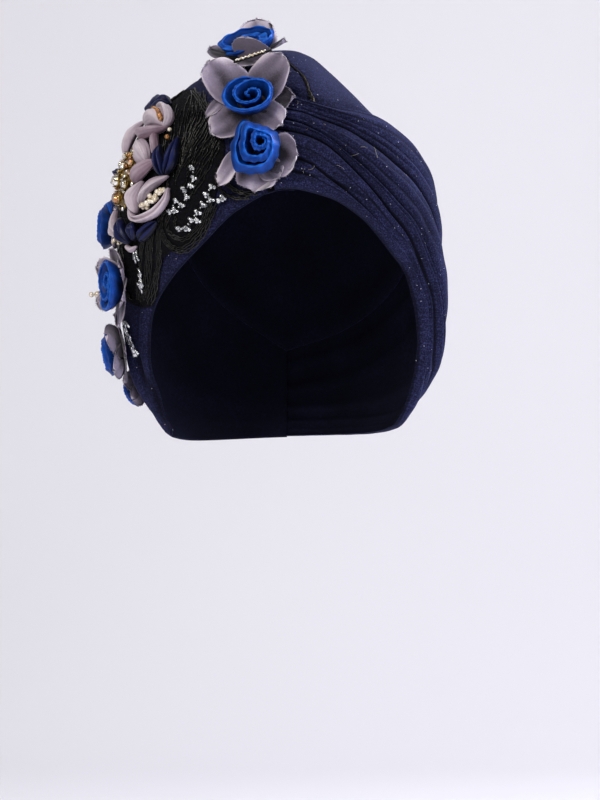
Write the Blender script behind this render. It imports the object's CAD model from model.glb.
"""Turban dressed for the camera: gathered velour, corded lace, ribbon roses and a satin flower."""

import logging
import math
from collections.abc import Sequence
from dataclasses import dataclass, field
from enum import Enum
from typing import Any, ClassVar

import bmesh
import bpy
import numpy as np
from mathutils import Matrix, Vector


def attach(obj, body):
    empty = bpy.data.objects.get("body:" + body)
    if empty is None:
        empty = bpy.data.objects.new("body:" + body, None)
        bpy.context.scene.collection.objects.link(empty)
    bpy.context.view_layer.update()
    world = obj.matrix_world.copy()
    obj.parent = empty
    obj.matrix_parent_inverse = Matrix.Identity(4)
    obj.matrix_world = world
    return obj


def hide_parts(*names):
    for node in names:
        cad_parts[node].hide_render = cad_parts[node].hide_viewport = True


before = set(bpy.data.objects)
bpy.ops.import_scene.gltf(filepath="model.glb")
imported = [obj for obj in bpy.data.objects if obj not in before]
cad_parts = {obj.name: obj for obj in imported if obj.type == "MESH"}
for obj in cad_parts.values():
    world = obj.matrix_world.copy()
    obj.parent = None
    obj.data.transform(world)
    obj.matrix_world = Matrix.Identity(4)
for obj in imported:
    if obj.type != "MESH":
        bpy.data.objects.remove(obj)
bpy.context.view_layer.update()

LOG = logging.getLogger("turban")
MM = 0.001
Array = np.ndarray
Piece = bpy.types.Object
Finish = bpy.types.Material
Tree = bpy.types.NodeTree
Pairs = Sequence[tuple[float, float]]
NOISE, CELLS = "ShaderNodeTexNoise", "ShaderNodeTexVoronoi"
MIX, RAMP = "ShaderNodeMix", "ShaderNodeValToRGB"
# Radians from one seed to the next on a spiral that packs evenly
GOLDEN_TURN = 2.39996
# Millimetres along the cloth in one degree, for the knit's streaks
MM_PER_DEGREE = 1.55

# Horizontal sections of the form, mm: height, then the reach to the left, right, front and back
SECTIONS = (
    (42, 0, 0, 0, 0),
    (40.5, 17, 8, 19, 24),
    (37, 31, 16, 34, 44),
    (28, 48, 27, 53, 66),
    (15, 65, 40.5, 68, 82),
    (3, 78, 52, 76, 91),
    (-9, 87, 65, 81, 98),
    (-24, 94, 77.5, 84.5, 105),
    (-41, 98, 84, 87, 111),
    (-60, 100, 87.5, 89, 115),
    (-85, 101, 90.5, 91, 117),
    (-115, 100.5, 93, 92, 115),
    (-138, 98.5, 91.5, 91, 110),
    (-158, 95, 86.5, 89, 103),
    (-176, 88, 79, 86, 94),
    (-200, 73, 67, 79, 82),
)
# Azimuth in degrees and height in mm of the hem, from the nape round the viewer's left to the nape
HEM = (
    (-180, -194), (-130, -196), (-108, -194), (-98, -186), (-88, -161), (-78, -136), (-68, -117),
    (-52, -98), (-34, -78), (-18, -58), (0, -46), (18, -51), (34, -62), (52, -82), (65, -94),
    (74, -112), (81, -132), (88, -155), (97, -180), (108, -188), (130, -192), (180, -194),
)
# How far the hem is pulled in to the head, mm by azimuth, and the travel over which that fades
HEM_PULL = (
    (-180, 2), (-110, 4), (-97, 7), (-88, 12), (-70, 13), (-45, 12), (0, 6), (45, 9), (70, 11),
    (80, 9.5), (88, 7.5), (97, 4), (110, 3), (180, 2),
)
HEM_PULL_REACH = 45
# Height of the left panel's top edge by azimuth, where the crown's tucked edge meets it
LEFT_PANEL_TOP = (
    (-180, -132), (-150, -95), (-130, -50), (-110, -5), (-90, 18), (-45, 24), (-15, 18), (5, 6),
)
# Lines between the gathered folds: their azimuths, then each line's heights there, from the hem up
GATHER_AZIMUTHS = (-4, 8, 18, 30, 45, 60, 75, 90, 110, 130, 155, 180)
GATHER_LINES = (
    (-27, -31, -41, -54, -70, -85, -108, -155, -185, -188.5, -190, -191),
    (-12, -15, -21, -37, -58, -77, -103, -147, -176, -182, -184, -185),
    (-5.5, -9, -16.5, -31, -50, -68, -93, -128, -160, -171, -175, -177),
    (0, -2.5, -6.5, -13, -26.5, -41, -58, -80, -112, -139, -158, -165),
    (4.5, 2.5, -1.5, -7.5, -15.5, -28, -41, -57, -85, -115, -139, -150),
    (8.5, 6.5, 3, 0, -1, -4, -18, -38, -63, -92, -118, -132),
)
# Height of the folds at those azimuths, then how far the band stands off the form, mm
GATHER_HEIGHTS = (1.9, 2.1, 2.6, 3.2, 4.0, 4.5, 4.4, 4.0, 3.2, 2.4, 1.9, 1.6)
GATHER_LIFT = (0.4, 0.5, 0.7, 1.0, 1.3, 1.5, 1.5, 1.4, 1.1, 0.9, 0.7, 0.6)
# Finer creases inside a fold: fold, share of it at the gathers and at the nape, depth mm, azimuths
MINOR_CREASES = (
    (0, 0.5, 0.5, 0.7, 4, 44),
    (1, 0.42, 0.5, 0.9, -2, 60),
    (2, 0.45, 0.55, 1.1, 2, 112),
    (3, 0.3, 0.34, 1.0, -4, 84),
    (3, 0.64, 0.66, 1.3, 8, 135),
    (4, 0.36, 0.3, 0.9, -4, 70),
    (4, 0.68, 0.62, 1.2, 6, 120),
    (5, 0.32, 0.4, 0.9, -4, 96),
    (5, 0.68, 0.74, 0.9, -4, 66),
)
# Lace: height, then azimuth of its left and right edge
LACE_EDGES = (
    (15, -74, -56), (8, -86, -41), (-1, -92, -31), (-12, -95, -25.5), (-24, -97, -22.5),
    (-39, -97, -23.5), (-53, -93, -26.5), (-66, -91, -30), (-74, -91, -33), (-80, -91, -42),
    (-85, -90, -50.5), (-94, -90, -54), (-103, -85, -58), (-110, -79, -62), (-115, -72, -67),
)


class Line:
    """A smooth line through (place, value) points that never swings past them."""

    def __init__(self, points: Pairs) -> None:
        """Works out the slope at each point.

        Args:
            points: (place, value) pairs with rising places.
        """
        self.places = np.array([place for place, _ in points], float)
        self.values = np.array([value for _, value in points], float)
        gaps = np.diff(self.places)
        rises = np.diff(self.values) / gaps
        before, after = rises[:-1], rises[1:]
        turning = before * after <= 0
        lead = 2 * gaps[1:] + gaps[:-1]
        trail = gaps[1:] + 2 * gaps[:-1]
        safe_before = np.where(turning, 1.0, before)
        safe_after = np.where(turning, 1.0, after)
        middle = (lead + trail) / (lead / safe_before + trail / safe_after)
        self.slopes = np.concatenate([rises[:1], np.where(turning, 0.0, middle), rises[-1:]])

    def at(self, place: Array | float) -> Array:
        """The line's values at places, which are held inside its ends.

        Args:
            place: places along the line.

        Returns:
            The values there.
        """
        place = np.clip(place, self.places[0], self.places[-1])
        k = np.clip(np.searchsorted(self.places, place, side="right") - 1, 0, len(self.places) - 2)
        gap = self.places[k + 1] - self.places[k]
        s = (place - self.places[k]) / gap
        start = (1 + 2 * s) * (1 - s) ** 2 * self.values[k] + s * (1 - s) ** 2 * gap * self.slopes[k]
        end = s * s * (3 - 2 * s) * self.values[k + 1] + s * s * (s - 1) * gap * self.slopes[k + 1]
        return start + end


def ease(value: Array | float, start: float, end: float) -> Array:
    """0 before start, 1 after end, smooth between."""
    share = np.clip((np.asarray(value, float) - start) / (end - start), 0.0, 1.0)
    return share * share * (3 - 2 * share)


def bump(value: Array | float, middle: Array | float, width: float) -> Array:
    """A bell of height 1 about a middle."""
    return np.exp(-(((np.asarray(value, float) - middle) / width) ** 2))


def unit(vectors: Array) -> Array:
    """Vectors brought to length 1."""
    return vectors / np.maximum(np.linalg.norm(vectors, axis=-1, keepdims=True), 1e-9)


class Form:
    """The bare form under the cloth, in mm: places on it are an azimuth and a travel down from the top."""

    def __init__(self) -> None:
        """Builds the lines through the section tables."""
        table = np.array(SECTIONS, float)
        spread = np.diff(table[:, 1:].sum(axis=1)) / 4
        steps = np.hypot(np.diff(table[:, 0]), spread)
        travel = np.concatenate([[0.0], np.cumsum(steps)])
        self.columns = [Line(list(zip(travel, table[:, k]))) for k in range(5)]
        self.fine_travel = np.linspace(0, travel[-1], 6000)
        self.fine_height = self.columns[0].at(self.fine_travel)
        self.hem = Line(HEM)
        self.pull = Line(HEM_PULL)
        self.left_top = Line(LEFT_PANEL_TOP)
        self.gathers = [Line(list(zip(GATHER_AZIMUTHS, row))) for row in GATHER_LINES]

    def travel_at(self, height: Array | float) -> Array:
        """Travel down the form at heights."""
        return np.interp(-np.asarray(height, float), -self.fine_height, self.fine_travel)

    def point(self, azimuth: Array, travel: Array) -> Array:
        """Points of the bare form.

        Args:
            azimuth: degrees.
            travel: mm down from the top.

        Returns:
            Rows of points in mm.
        """
        azimuth, travel = np.broadcast_arrays(np.asarray(azimuth, float), np.asarray(travel, float))
        across, ahead = np.sin(np.radians(azimuth)), np.cos(np.radians(azimuth))
        height, left, right, front, back = (column.at(travel) for column in self.columns)
        side = np.where(across > 0, right, left)
        depth = np.where(ahead > 0, front, back)
        return np.stack([side * across, -depth * ahead, height], axis=-1)

    def normal(self, azimuth: Array, travel: Array) -> Array:
        """Outward normals of the bare form.

        Args:
            azimuth: degrees.
            travel: mm down from the top.

        Returns:
            Directions of length 1.
        """
        step = 0.5
        travel = np.maximum(travel, 2 * step)
        turn = self.point(azimuth + step, travel) - self.point(azimuth - step, travel)
        down = self.point(azimuth, travel + step) - self.point(azimuth, travel - step)
        return unit(np.cross(down, turn))

    def cloth(self, azimuth: Array, travel: Array, offset: Array | float) -> Array:
        """Points at an offset outside the form, which pulls in to the head near the hem.

        Args:
            azimuth: degrees.
            travel: mm down from the top.
            offset: mm outwards.

        Returns:
            Rows of points in mm.
        """
        azimuth, travel, offset = np.broadcast_arrays(
            np.asarray(azimuth, float), np.asarray(travel, float), np.asarray(offset, float)
        )
        points = self.point(azimuth, travel)
        above_hem = self.travel_at(self.hem.at(azimuth)) - travel
        pull = self.pull.at(azimuth) * np.maximum(0.0, 1 - above_hem / HEM_PULL_REACH) ** 2
        inward = -unit(points * np.array([1.0, 1.0, 0.0]))
        return points + self.normal(azimuth, travel) * offset[..., None] + inward * pull[..., None]

    def scale(self, azimuth: float, travel: float) -> float:
        """Millimetres round the form in one degree."""
        ends = self.point(np.array([azimuth - 0.5, azimuth + 0.5]), np.array([travel, travel]))
        return float(np.linalg.norm(ends[1] - ends[0]))

    def seat(self, azimuth: Array | float, height: Array | float, offset: Array | float) -> Array:
        """Points at azimuths and heights, at an offset outside the form."""
        return self.cloth(azimuth, self.travel_at(height), offset)

    def flat(self, azimuth: Array, height: Array, middle: float) -> Array:
        """Places laid out flat about a middle azimuth: mm to the right of it, mm of travel.

        Args:
            azimuth: degrees.
            height: mm.
            middle: azimuth of the middle.

        Returns:
            Rows of flat places, mm.
        """
        travel = self.travel_at(np.asarray(height, float))
        scale = self.scale(middle, float(np.mean(travel)))
        return np.stack([(np.asarray(azimuth, float) - middle) * scale, travel], axis=-1)

    def unflat(self, places: Array, middle: float, travel: float, offset: Array | float) -> Array:
        """Flat places brought back on to the cloth at an offset."""
        scale = self.scale(middle, travel)
        return self.cloth(middle + places[..., 0] / scale, places[..., 1], offset)

    def outside(self, points: Array) -> Array:
        """Whether points lie outside the bare form.

        Args:
            points: points in mm.

        Returns:
            True where a point lies outside.
        """
        travel = self.travel_at(points[..., 2])
        _, left, right, front, back = (column.at(travel) for column in self.columns)
        side = np.maximum(np.where(points[..., 0] > 0, right, left), 1e-6)
        depth = np.maximum(np.where(points[..., 1] < 0, front, back), 1e-6)
        round_it = (points[..., 0] / side) ** 2 + (points[..., 1] / depth) ** 2 > 1
        return round_it | (points[..., 2] >= SECTIONS[0][0])

    def drop(self, points: Array, facing: Array) -> Array:
        """Points moved along one direction on to the bare form.

        Args:
            points: points in mm.
            facing: the direction.

        Returns:
            The points on the form.
        """
        low = np.full(points.shape[:-1], -40.0)
        high = np.full(points.shape[:-1], 40.0)
        for _ in range(22):
            middle = (low + high) / 2
            out = self.outside(points + facing * middle[..., None])
            high = np.where(out, middle, high)
            low = np.where(out, low, middle)
        return points + facing * low[..., None]


FORM = Form()


def waver(azimuth: Array, travel: Array, size: float, seed: int) -> Array:
    """Soft unevenness of cloth, about -1 to 1: a sum of slanted waves of about one size in mm.

    Args:
        azimuth: degrees.
        travel: mm down from the top.
        size: size of the waves in mm.
        seed: number that fixes the random draws.

    Returns:
        The unevenness at each place.
    """
    rng = np.random.default_rng(seed)
    x, y = azimuth * 1.6, travel
    total = np.zeros(np.broadcast(x, y).shape)
    for _ in range(7):
        angle, phase = rng.uniform(0, math.pi), rng.uniform(0, 2 * math.pi)
        length = size * rng.uniform(0.7, 1.6)
        total = total + np.sin(2 * math.pi * (x * math.cos(angle) + y * math.sin(angle)) / length + phase)
    return total / 3.2


def crease(azimuth: Array, travel: Array, path: Pairs, width: float) -> Array:
    """1 on a path of (azimuth, height) points, falling to 0 beside it.

    Args:
        azimuth: degrees.
        travel: mm down from the top.
        path: (azimuth, height) points.
        width: how far it reaches to each side, mm.

    Returns:
        Its strength at each place.
    """
    x, y = azimuth * 1.5, travel
    best = np.full(np.broadcast(x, y).shape, 1e9)
    spots = [(a * 1.5, float(FORM.travel_at(h))) for a, h in path]
    for (x0, y0), (x1, y1) in zip(spots, spots[1:]):
        dx, dy = x1 - x0, y1 - y0
        share = np.clip(((x - x0) * dx + (y - y0) * dy) / (dx * dx + dy * dy), 0, 1)
        best = np.minimum(best, np.hypot(x - x0 - share * dx, y - y0 - share * dy))
    return np.exp(-((best / width) ** 2))


def through(points: Sequence[Sequence[float]], count: int, closed: bool = False) -> Array:
    """A smooth curve of count points through the given points.

    Args:
        points: points of any dimension.
        count: number of points wanted.
        closed: whether the curve comes back to its start.

    Returns:
        The curve's points, without the repeated one where it is closed.
    """
    knots = np.array(points, float)
    if closed:
        knots = np.concatenate([knots[-1:], knots, knots[:2]])
    else:
        knots = np.concatenate([2 * knots[:1] - knots[1:2], knots, 2 * knots[-1:] - knots[-2:-1]])
    spans = len(knots) - 3
    place = np.linspace(0, spans, count, endpoint=not closed)
    k = np.minimum(place.astype(int), spans - 1)
    s = (place - k)[:, None]
    a, b, c, d = (knots[k + j] for j in range(4))
    return 0.5 * (2 * b + (c - a) * s + (2 * a - 5 * b + 4 * c - d) * s**2 + (3 * b - a - 3 * c + d) * s**3)


def linear(code: str) -> tuple[float, float, float, float]:
    """An sRGB hex colour as linear RGBA."""
    channels = [int(code[k : k + 2], 16) / 255 for k in (1, 3, 5)]
    return (*(c / 12.92 if c <= 0.04045 else ((c + 0.055) / 1.055) ** 2.4 for c in channels), 1.0)


def node(
    tree: Tree,
    kind: str,
    inputs: dict[Any, Any] | None = None,
    stops: Sequence[tuple[float, str]] = (),
    **settings: Any,
) -> bpy.types.Node:
    """Adds a node with its settings, input values and links.

    Args:
        tree: the tree it goes into.
        kind: the node's type name.
        inputs: input name or number to a value, a socket, or a node whose first output feeds it.
        stops: (place, sRGB hex) pairs in order, for a node that holds a colour ramp.
        settings: the node's own properties.

    Returns:
        The new node.
    """
    made = tree.nodes.new(kind)
    for name, value in settings.items():
        setattr(made, name, value)
    for key, value in (inputs or {}).items():
        source = value.outputs[0] if isinstance(value, bpy.types.Node) else value
        if isinstance(source, bpy.types.NodeSocket):
            tree.links.new(source, made.inputs[key])
        else:
            made.inputs[key].default_value = source
    for k, (place, code) in enumerate(stops):
        points = made.color_ramp.elements
        stop = points[k] if k < 2 else points.new(place)
        stop.position, stop.color = place, linear(code)
    return made


def per_metre(size_mm: float) -> float:
    """Texture scale on metre coordinates for a pattern of a size in mm."""
    return 1000.0 / size_mm


def started(name: str, **constants: Any) -> tuple[Finish, Tree, Any]:
    """A new Principled material.

    Args:
        name: the finish's name.
        constants: values of Principled sockets, with _ for the spaces in their names.

    Returns:
        The material, its tree and the object coordinates' socket.
    """
    material = bpy.data.materials.new(name)
    material.use_nodes = True
    tree = material.node_tree
    for key, value in constants.items():
        tree.nodes["Principled BSDF"].inputs[key.replace("_", " ")].default_value = value
    return material, tree, node(tree, "ShaderNodeTexCoord").outputs["Object"]


def covered(
    tree: Tree, colour: Any, height: Any = None, strength: float = 0.0, depth_mm: float = 0.0
) -> None:
    """Gives a material's shader its colour, and a relief where it has one.

    Args:
        tree: the material's tree.
        colour: the socket that holds its colour.
        height: the node or socket that holds its relief.
        strength: how strongly the relief tilts the light.
        depth_mm: the relief's depth.
    """
    shader = tree.nodes["Principled BSDF"]
    tree.links.new(colour, shader.inputs["Base Color"])
    if height is not None:
        relief = node(
            tree, "ShaderNodeBump", {"Strength": strength, "Distance": depth_mm * MM, "Height": height}
        )
        tree.links.new(relief.outputs[0], shader.inputs["Normal"])


def mottled(
    name: str,
    grain_mm: float,
    detail: float,
    stops: Sequence[tuple[float, str]],
    relief: tuple[float, ...] = (),
    **constants: Any,
) -> Finish:
    """A material whose colour, and relief where it has one, follow one soft grain.

    Args:
        name: the finish's name.
        grain_mm: size of the grain.
        detail: how much finer the grain breaks up.
        stops: (place, sRGB hex) pairs of its colour ramp.
        relief: strength of the relief and its depth in mm.
        constants: values of Principled sockets.

    Returns:
        The material.
    """
    material, tree, place = started(name, **constants)
    grain = node(tree, NOISE, {"Vector": place, "Scale": per_metre(grain_mm), "Detail": detail})
    colour = node(tree, RAMP, {"Fac": grain}, stops).outputs["Color"]
    covered(tree, colour, grain if relief else None, *relief)
    return material


@dataclass(frozen=True)
class Velour:
    """Stretch velour: short nap that lights at grazing angles, heathered, with specks of glitter."""

    name: str = "stretch_velour_navy"
    deep: str = "#07070f"
    middle: str = "#17182f"
    pale: str = "#373a65"
    bloom: str = "#6f76b8"
    glint: str = "#b9b8cc"
    fibre_mm: float = 0.95
    streak_mm: tuple[float, float] = (14, 1.0)
    patch_mm: float = 45
    speck_gap_mm: float = 2.4
    speck_radius: float = 0.11
    specks_left_out: float = 0.86

    def make(self) -> Finish:
        """Builds the material; the fibres are drawn coarser than real ones, so that they show.

        Returns:
            The material.
        """
        material, tree, place = started(
            self.name, Roughness=0.95, Specular_IOR_Level=0.08, Sheen_Weight=0.16, Sheen_Roughness=0.5,
            Sheen_Tint=linear(self.bloom),
        )
        along = node(tree, "ShaderNodeUVMap", uv_map="cloth")
        scale = (*map(per_metre, self.streak_mm), 1)
        stretched = node(tree, "ShaderNodeMapping", {"Vector": along, "Scale": scale})
        streak = node(tree, NOISE, {"Vector": stretched, "Scale": 1.0, "Detail": 2.0})
        fine = {"Vector": place, "Scale": per_metre(self.fibre_mm), "Detail": 3.0, "Roughness": 0.7}
        fibre = node(tree, NOISE, fine)
        patch = node(tree, NOISE, {"Vector": place, "Scale": per_metre(self.patch_mm), "Detail": 1.0})
        nap = node(tree, MIX, {0: 0.16, 2: fibre, 3: streak}, data_type="FLOAT")
        tone = node(tree, MIX, {0: 0.14, 2: nap, 3: patch}, data_type="FLOAT")
        heather = node(tree, RAMP, {"Fac": tone}, ((0.34, self.deep), (0.5, self.middle), (0.67, self.pale)))
        depth = node(tree, "ShaderNodeAttribute", attribute_name="depth").outputs["Fac"]
        shade = node(tree, RAMP, {"Fac": depth}, ((0.0, "#161616"), (0.35, "#808080"), (0.8, "#ffffff")))
        cloth = node(tree, MIX, {0: 1.0, 6: heather, 7: shade}, data_type="RGBA", blend_type="MULTIPLY")
        cells = node(tree, CELLS, {"Vector": place, "Scale": per_metre(self.speck_gap_mm)})
        reach = {0: cells.outputs["Distance"], 1: self.speck_radius}
        near = node(tree, "ShaderNodeMath", reach, operation="LESS_THAN")
        pick = node(tree, "ShaderNodeSeparateColor", {0: cells.outputs["Color"]})
        chosen = node(tree, "ShaderNodeMath", {0: pick, 1: self.specks_left_out}, operation="GREATER_THAN")
        speck = node(tree, "ShaderNodeMath", {0: near, 1: chosen}, operation="MULTIPLY")
        colour = node(tree, MIX, {0: speck, 6: cloth.outputs[2], 7: linear(self.glint)}, data_type="RGBA")
        covered(tree, colour.outputs[2], nap, 0.55, 0.6)
        return material


@dataclass(frozen=True)
class Reverse:
    """Wrong side of the velour: a plain matte knit with fine ribs, without nap or glitter."""

    name: str = "velour_knit_back"
    rib_mm: float = 1.6
    patch_mm: float = 30

    def make(self) -> Finish:
        """Builds the material; its ribs are drawn coarser than real ones, so that they show.

        Returns:
            The material.
        """
        material, tree, place = started(self.name, Roughness=0.95, Specular_IOR_Level=0.1)
        ribs = node(tree, NOISE, {"Vector": place, "Scale": per_metre(self.rib_mm), "Detail": 2.0})
        patch = node(tree, NOISE, {"Vector": place, "Scale": per_metre(self.patch_mm), "Detail": 2.0})
        tone = node(tree, MIX, {0: 0.5, 2: ribs, 3: patch}, data_type="FLOAT")
        colour = node(tree, RAMP, {"Fac": tone}, ((0.3, "#090a15"), (0.55, "#101122"), (0.75, "#17192e")))
        covered(tree, colour.outputs["Color"], ribs, 0.4, 0.4)
        return material


@dataclass(frozen=True)
class Satin:
    """Polyester satin: long floats give a soft bright band on each fold and dark hollows between."""

    name: str
    deep: str
    middle: str
    pale: str
    roughness: float = 0.42
    sheen: float = 0.25
    gloss: float = 0.3

    def make(self) -> Finish:
        """Builds the material; its tone follows the piece's own depth attribute.

        Returns:
            The material.
        """
        material, tree, place = started(
            self.name, Roughness=self.roughness, Specular_IOR_Level=self.gloss, Sheen_Weight=self.sheen,
            Sheen_Roughness=0.3,
        )
        mottle = node(tree, NOISE, {"Vector": place, "Scale": per_metre(5), "Detail": 3.0})
        depth = node(tree, "ShaderNodeAttribute", attribute_name="depth").outputs["Fac"]
        tone = node(tree, MIX, {0: 0.3, 2: depth, 3: mottle}, data_type="FLOAT")
        colour = node(tree, RAMP, {"Fac": tone}, ((0.1, self.deep), (0.5, self.middle), (0.9, self.pale)))
        thread = node(tree, NOISE, {"Vector": place, "Scale": per_metre(0.7), "Detail": 2.0})
        pucker = node(tree, NOISE, {"Vector": place, "Scale": per_metre(3.2), "Detail": 1.0})
        both = node(tree, MIX, {0: 0.6, 2: thread, 3: pucker}, data_type="FLOAT")
        covered(tree, colour.outputs["Color"], both, 0.35, 0.5)
        return material


@dataclass(frozen=True)
class Organza:
    """Heavy organza cut with raw edges: matte, faintly woven, paler where its rim frays."""

    name: str = "raw_edged_organza"
    deep: str = "#241f28"
    middle: str = "#80768a"
    rim: str = "#d6ccd6"

    def make(self) -> Finish:
        """Builds the material; its tone follows the piece's own depth attribute.

        Returns:
            The material.
        """
        material, tree, place = started(
            self.name, Roughness=0.8, Specular_IOR_Level=0.2, Sheen_Weight=0.15, Sheen_Roughness=0.5
        )
        mottle = node(tree, NOISE, {"Vector": place, "Scale": per_metre(6), "Detail": 4.0})
        weave = node(tree, NOISE, {"Vector": place, "Scale": per_metre(0.8), "Detail": 1.0})
        depth = node(tree, "ShaderNodeAttribute", attribute_name="depth").outputs["Fac"]
        grain = node(tree, MIX, {0: 0.4, 2: mottle, 3: weave}, data_type="FLOAT")
        tone = node(tree, MIX, {0: 0.3, 2: depth, 3: grain}, data_type="FLOAT")
        colour = node(tree, RAMP, {"Fac": tone}, ((0.16, self.deep), (0.5, self.middle), (0.84, self.rim)))
        covered(tree, colour.outputs["Color"], grain, 0.3, 0.4)
        return material


@dataclass(frozen=True)
class Net:
    """Black net ground of the lace: threads round small cells, with the navy cloth showing through."""

    name: str = "black_lace_net"
    cell_mm: float = 1.9

    def make(self) -> Finish:
        """Builds the material; its cells are drawn larger than real ones, so that they show.

        Returns:
            The material.
        """
        material, tree, place = started(self.name, Roughness=0.8, Specular_IOR_Level=0.1)
        cells = node(
            tree, CELLS, {"Vector": place, "Scale": per_metre(self.cell_mm)}, feature="DISTANCE_TO_EDGE"
        ).outputs["Distance"]
        tones = ((0.0, "#0c0c0f"), (0.12, "#060608"), (0.2, "#07080f"), (0.5, "#0c0d1e"))
        colour = node(tree, RAMP, {"Fac": cells}, tones)
        rise = node(tree, RAMP, {"Fac": cells}, ((0.0, "#ffffff"), (0.18, "#000000")))
        covered(tree, colour.outputs["Color"], rise, 0.8, 0.5)
        return material


@dataclass(frozen=True)
class Thread:
    """Twisted thread or cord: small glints along its strands."""

    name: str
    deep: str
    pale: str
    roughness: float = 0.45

    def make(self) -> Finish:
        """Builds the material.

        Returns:
            The material.
        """
        stops = ((0.57, self.deep), (0.72, self.pale))
        shine = {"Roughness": self.roughness, "Specular_IOR_Level": 0.25}
        return mottled(self.name, 1.1, 2.0, stops, (0.6, 0.3), **shine)


@dataclass(frozen=True)
class Bead:
    """Glass bead with a metallic or pearl coat: a tight highlight over a body colour that varies."""

    name: str
    deep: str
    pale: str
    metallic: float
    roughness: float

    def make(self) -> Finish:
        """Builds the material.

        Returns:
            The material.
        """
        return mottled(
            self.name, 2.4, 1.0, ((0.36, self.deep), (0.62, self.pale)),
            Metallic=self.metallic, Roughness=self.roughness, Coat_Weight=0.6, Coat_Roughness=0.08,
        )


@dataclass(frozen=True)
class Crystal:
    """Foil-backed cut glass: the foil behind gives each facet its own bright or dark mirror tone."""

    name: str
    deep: str
    middle: str
    pale: str
    facet_mm: float = 1.5

    def make(self) -> Finish:
        """Builds the material.

        Returns:
            The material.
        """
        material, tree, place = started(
            self.name, Metallic=0.75, Roughness=0.08, Coat_Weight=1.0, Coat_Roughness=0.02
        )
        facets = node(tree, CELLS, {"Vector": place, "Scale": per_metre(self.facet_mm)})
        pick = node(tree, "ShaderNodeSeparateColor", {0: facets.outputs["Color"]})
        colour = node(tree, RAMP, {"Fac": pick}, ((0.1, self.deep), (0.45, self.middle), (0.85, self.pale)))
        covered(tree, colour.outputs["Color"], facets.outputs["Distance"], 0.7, 0.6)
        return material


@dataclass(frozen=True)
class Gilt:
    """Gilt stamped metal, worn darker in its hollows."""

    name: str = "gilt_stamped_metal"

    def make(self) -> Finish:
        """Builds the material."""
        stops = ((0.35, "#6d5426"), (0.65, "#dcc07c"))
        return mottled(self.name, 3, 3.0, stops, (0.3, 0.3), Metallic=1.0, Roughness=0.28)


@dataclass(frozen=True)
class Paper:
    """Plain pale studio paper, which drifts a little in tone over its width."""

    name: str = "pale_backdrop_paper"
    colour: str = "#e2e0e1"
    lighter: str = "#e5e3e4"

    def make(self) -> Finish:
        """Builds the material."""
        return mottled(self.name, 700, 1.0, ((0.3, self.colour), (0.7, self.lighter)), Roughness=0.9)


class Wardrobe:
    """Every finish of the turban, made once."""

    def __init__(self) -> None:
        """Builds the materials."""
        self.velour = Velour().make()
        self.reverse = Reverse().make()
        self.blue = Satin("royal_blue_satin", "#02091c", "#0d3e92", "#1b66cb", 0.45, 0.0, 0.14).make()
        self.light = Satin("pale_lavender_satin", "#5b4a58", "#a99aa8", "#d6cbd2", 0.36, 0.2).make()
        self.mauve = Satin("mauve_satin", "#3c2b37", "#7d6675", "#b09fab", 0.38, 0.2).make()
        self.navy = Satin("navy_satin", "#010206", "#080b20", "#1d2456", 0.34, 0.08, 0.16).make()
        self.organza = Organza().make()
        self.net = Net().make()
        self.cord = Thread("black_lace_cord", "#010102", "#34342b", 0.22).make()
        self.black_thread = Thread("black_sewing_thread", "#08080a", "#202024").make()
        self.gold_thread = Thread("pale_gold_thread", "#2b2719", "#8d8256", 0.4).make()
        self.fray = Thread("frayed_organza_thread", "#8e8692", "#cfc8d0", 0.7).make()
        self.lint = Thread("pale_lint", "#a9a48f", "#e2dfd2", 0.8).make()
        self.silver_bead = Bead("silver_lined_bead", "#66696e", "#e6e8ea", 0.8, 0.2).make()
        self.pearl_bead = Bead("cream_pearl_bead", "#cbbb9c", "#f8f1e3", 0.3, 0.2).make()
        self.amber_bead = Bead("amber_bead", "#6d3f18", "#c48645", 0.4, 0.2).make()
        self.clear = Crystal("foil_backed_clear_glass", "#6f6450", "#cfc7b4", "#ffffff").make()
        self.amber = Crystal("foil_backed_amber_glass", "#7a4a20", "#bd8450", "#e8c9a0", 2.6).make()
        self.gilt = Gilt().make()
        self.paper = Paper().make()


def new_object(name: str, data: Any) -> Piece:
    """A new object in the scene.

    Args:
        name: the object's name.
        data: its mesh, camera or light.

    Returns:
        The new object.
    """
    made = bpy.data.objects.new(name, data)
    bpy.context.scene.collection.objects.link(made)
    return made


def add_piece(
    name: str, points: Array, faces: Any, material: Finish, depth: Array | None = None
) -> Piece:
    """A closed mesh piece from points in mm, turned outwards.

    Args:
        name: the piece's name.
        points: points in mm, one row each.
        faces: tuples of point numbers.
        material: its finish.
        depth: a tone for each point, 0 in the hollows to 1 on the ridges.

    Returns:
        The new object.
    """
    mesh = bpy.data.meshes.new(name)
    mesh.from_pydata((np.asarray(points) * MM).tolist(), [], faces)
    shape = bmesh.new()
    shape.from_mesh(mesh)
    bmesh.ops.recalc_face_normals(shape, faces=shape.faces)
    shape.to_mesh(mesh)
    shape.free()
    mesh.shade_smooth()
    if depth is not None:
        tones = mesh.attributes.new("depth", "FLOAT", "POINT").data
        tones.foreach_set("value", np.asarray(depth, np.float32).ravel())
    mesh.materials.append(material)
    return new_object(name, mesh)


def joined(name: str, pieces: Sequence[Piece]) -> Piece:
    """Several mesh pieces made one, with their attributes and finishes kept.

    Args:
        name: the piece's name.
        pieces: the pieces; the first one is kept.

    Returns:
        The first piece, which holds them all.
    """
    first, whole = pieces[0], list(pieces)
    with bpy.context.temp_override(
        active_object=first, object=first, selected_objects=whole, selected_editable_objects=whole
    ):
        bpy.ops.object.join()
    first.name = first.data.name = name
    return first


def quads(first: int, second: int, count: int, closed: bool) -> list[tuple[int, int, int, int]]:
    """Faces between two rows of points that start at first and second."""
    last = count if closed else count - 1
    return [(first + k, first + (k + 1) % count, second + (k + 1) % count, second + k) for k in range(last)]


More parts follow.
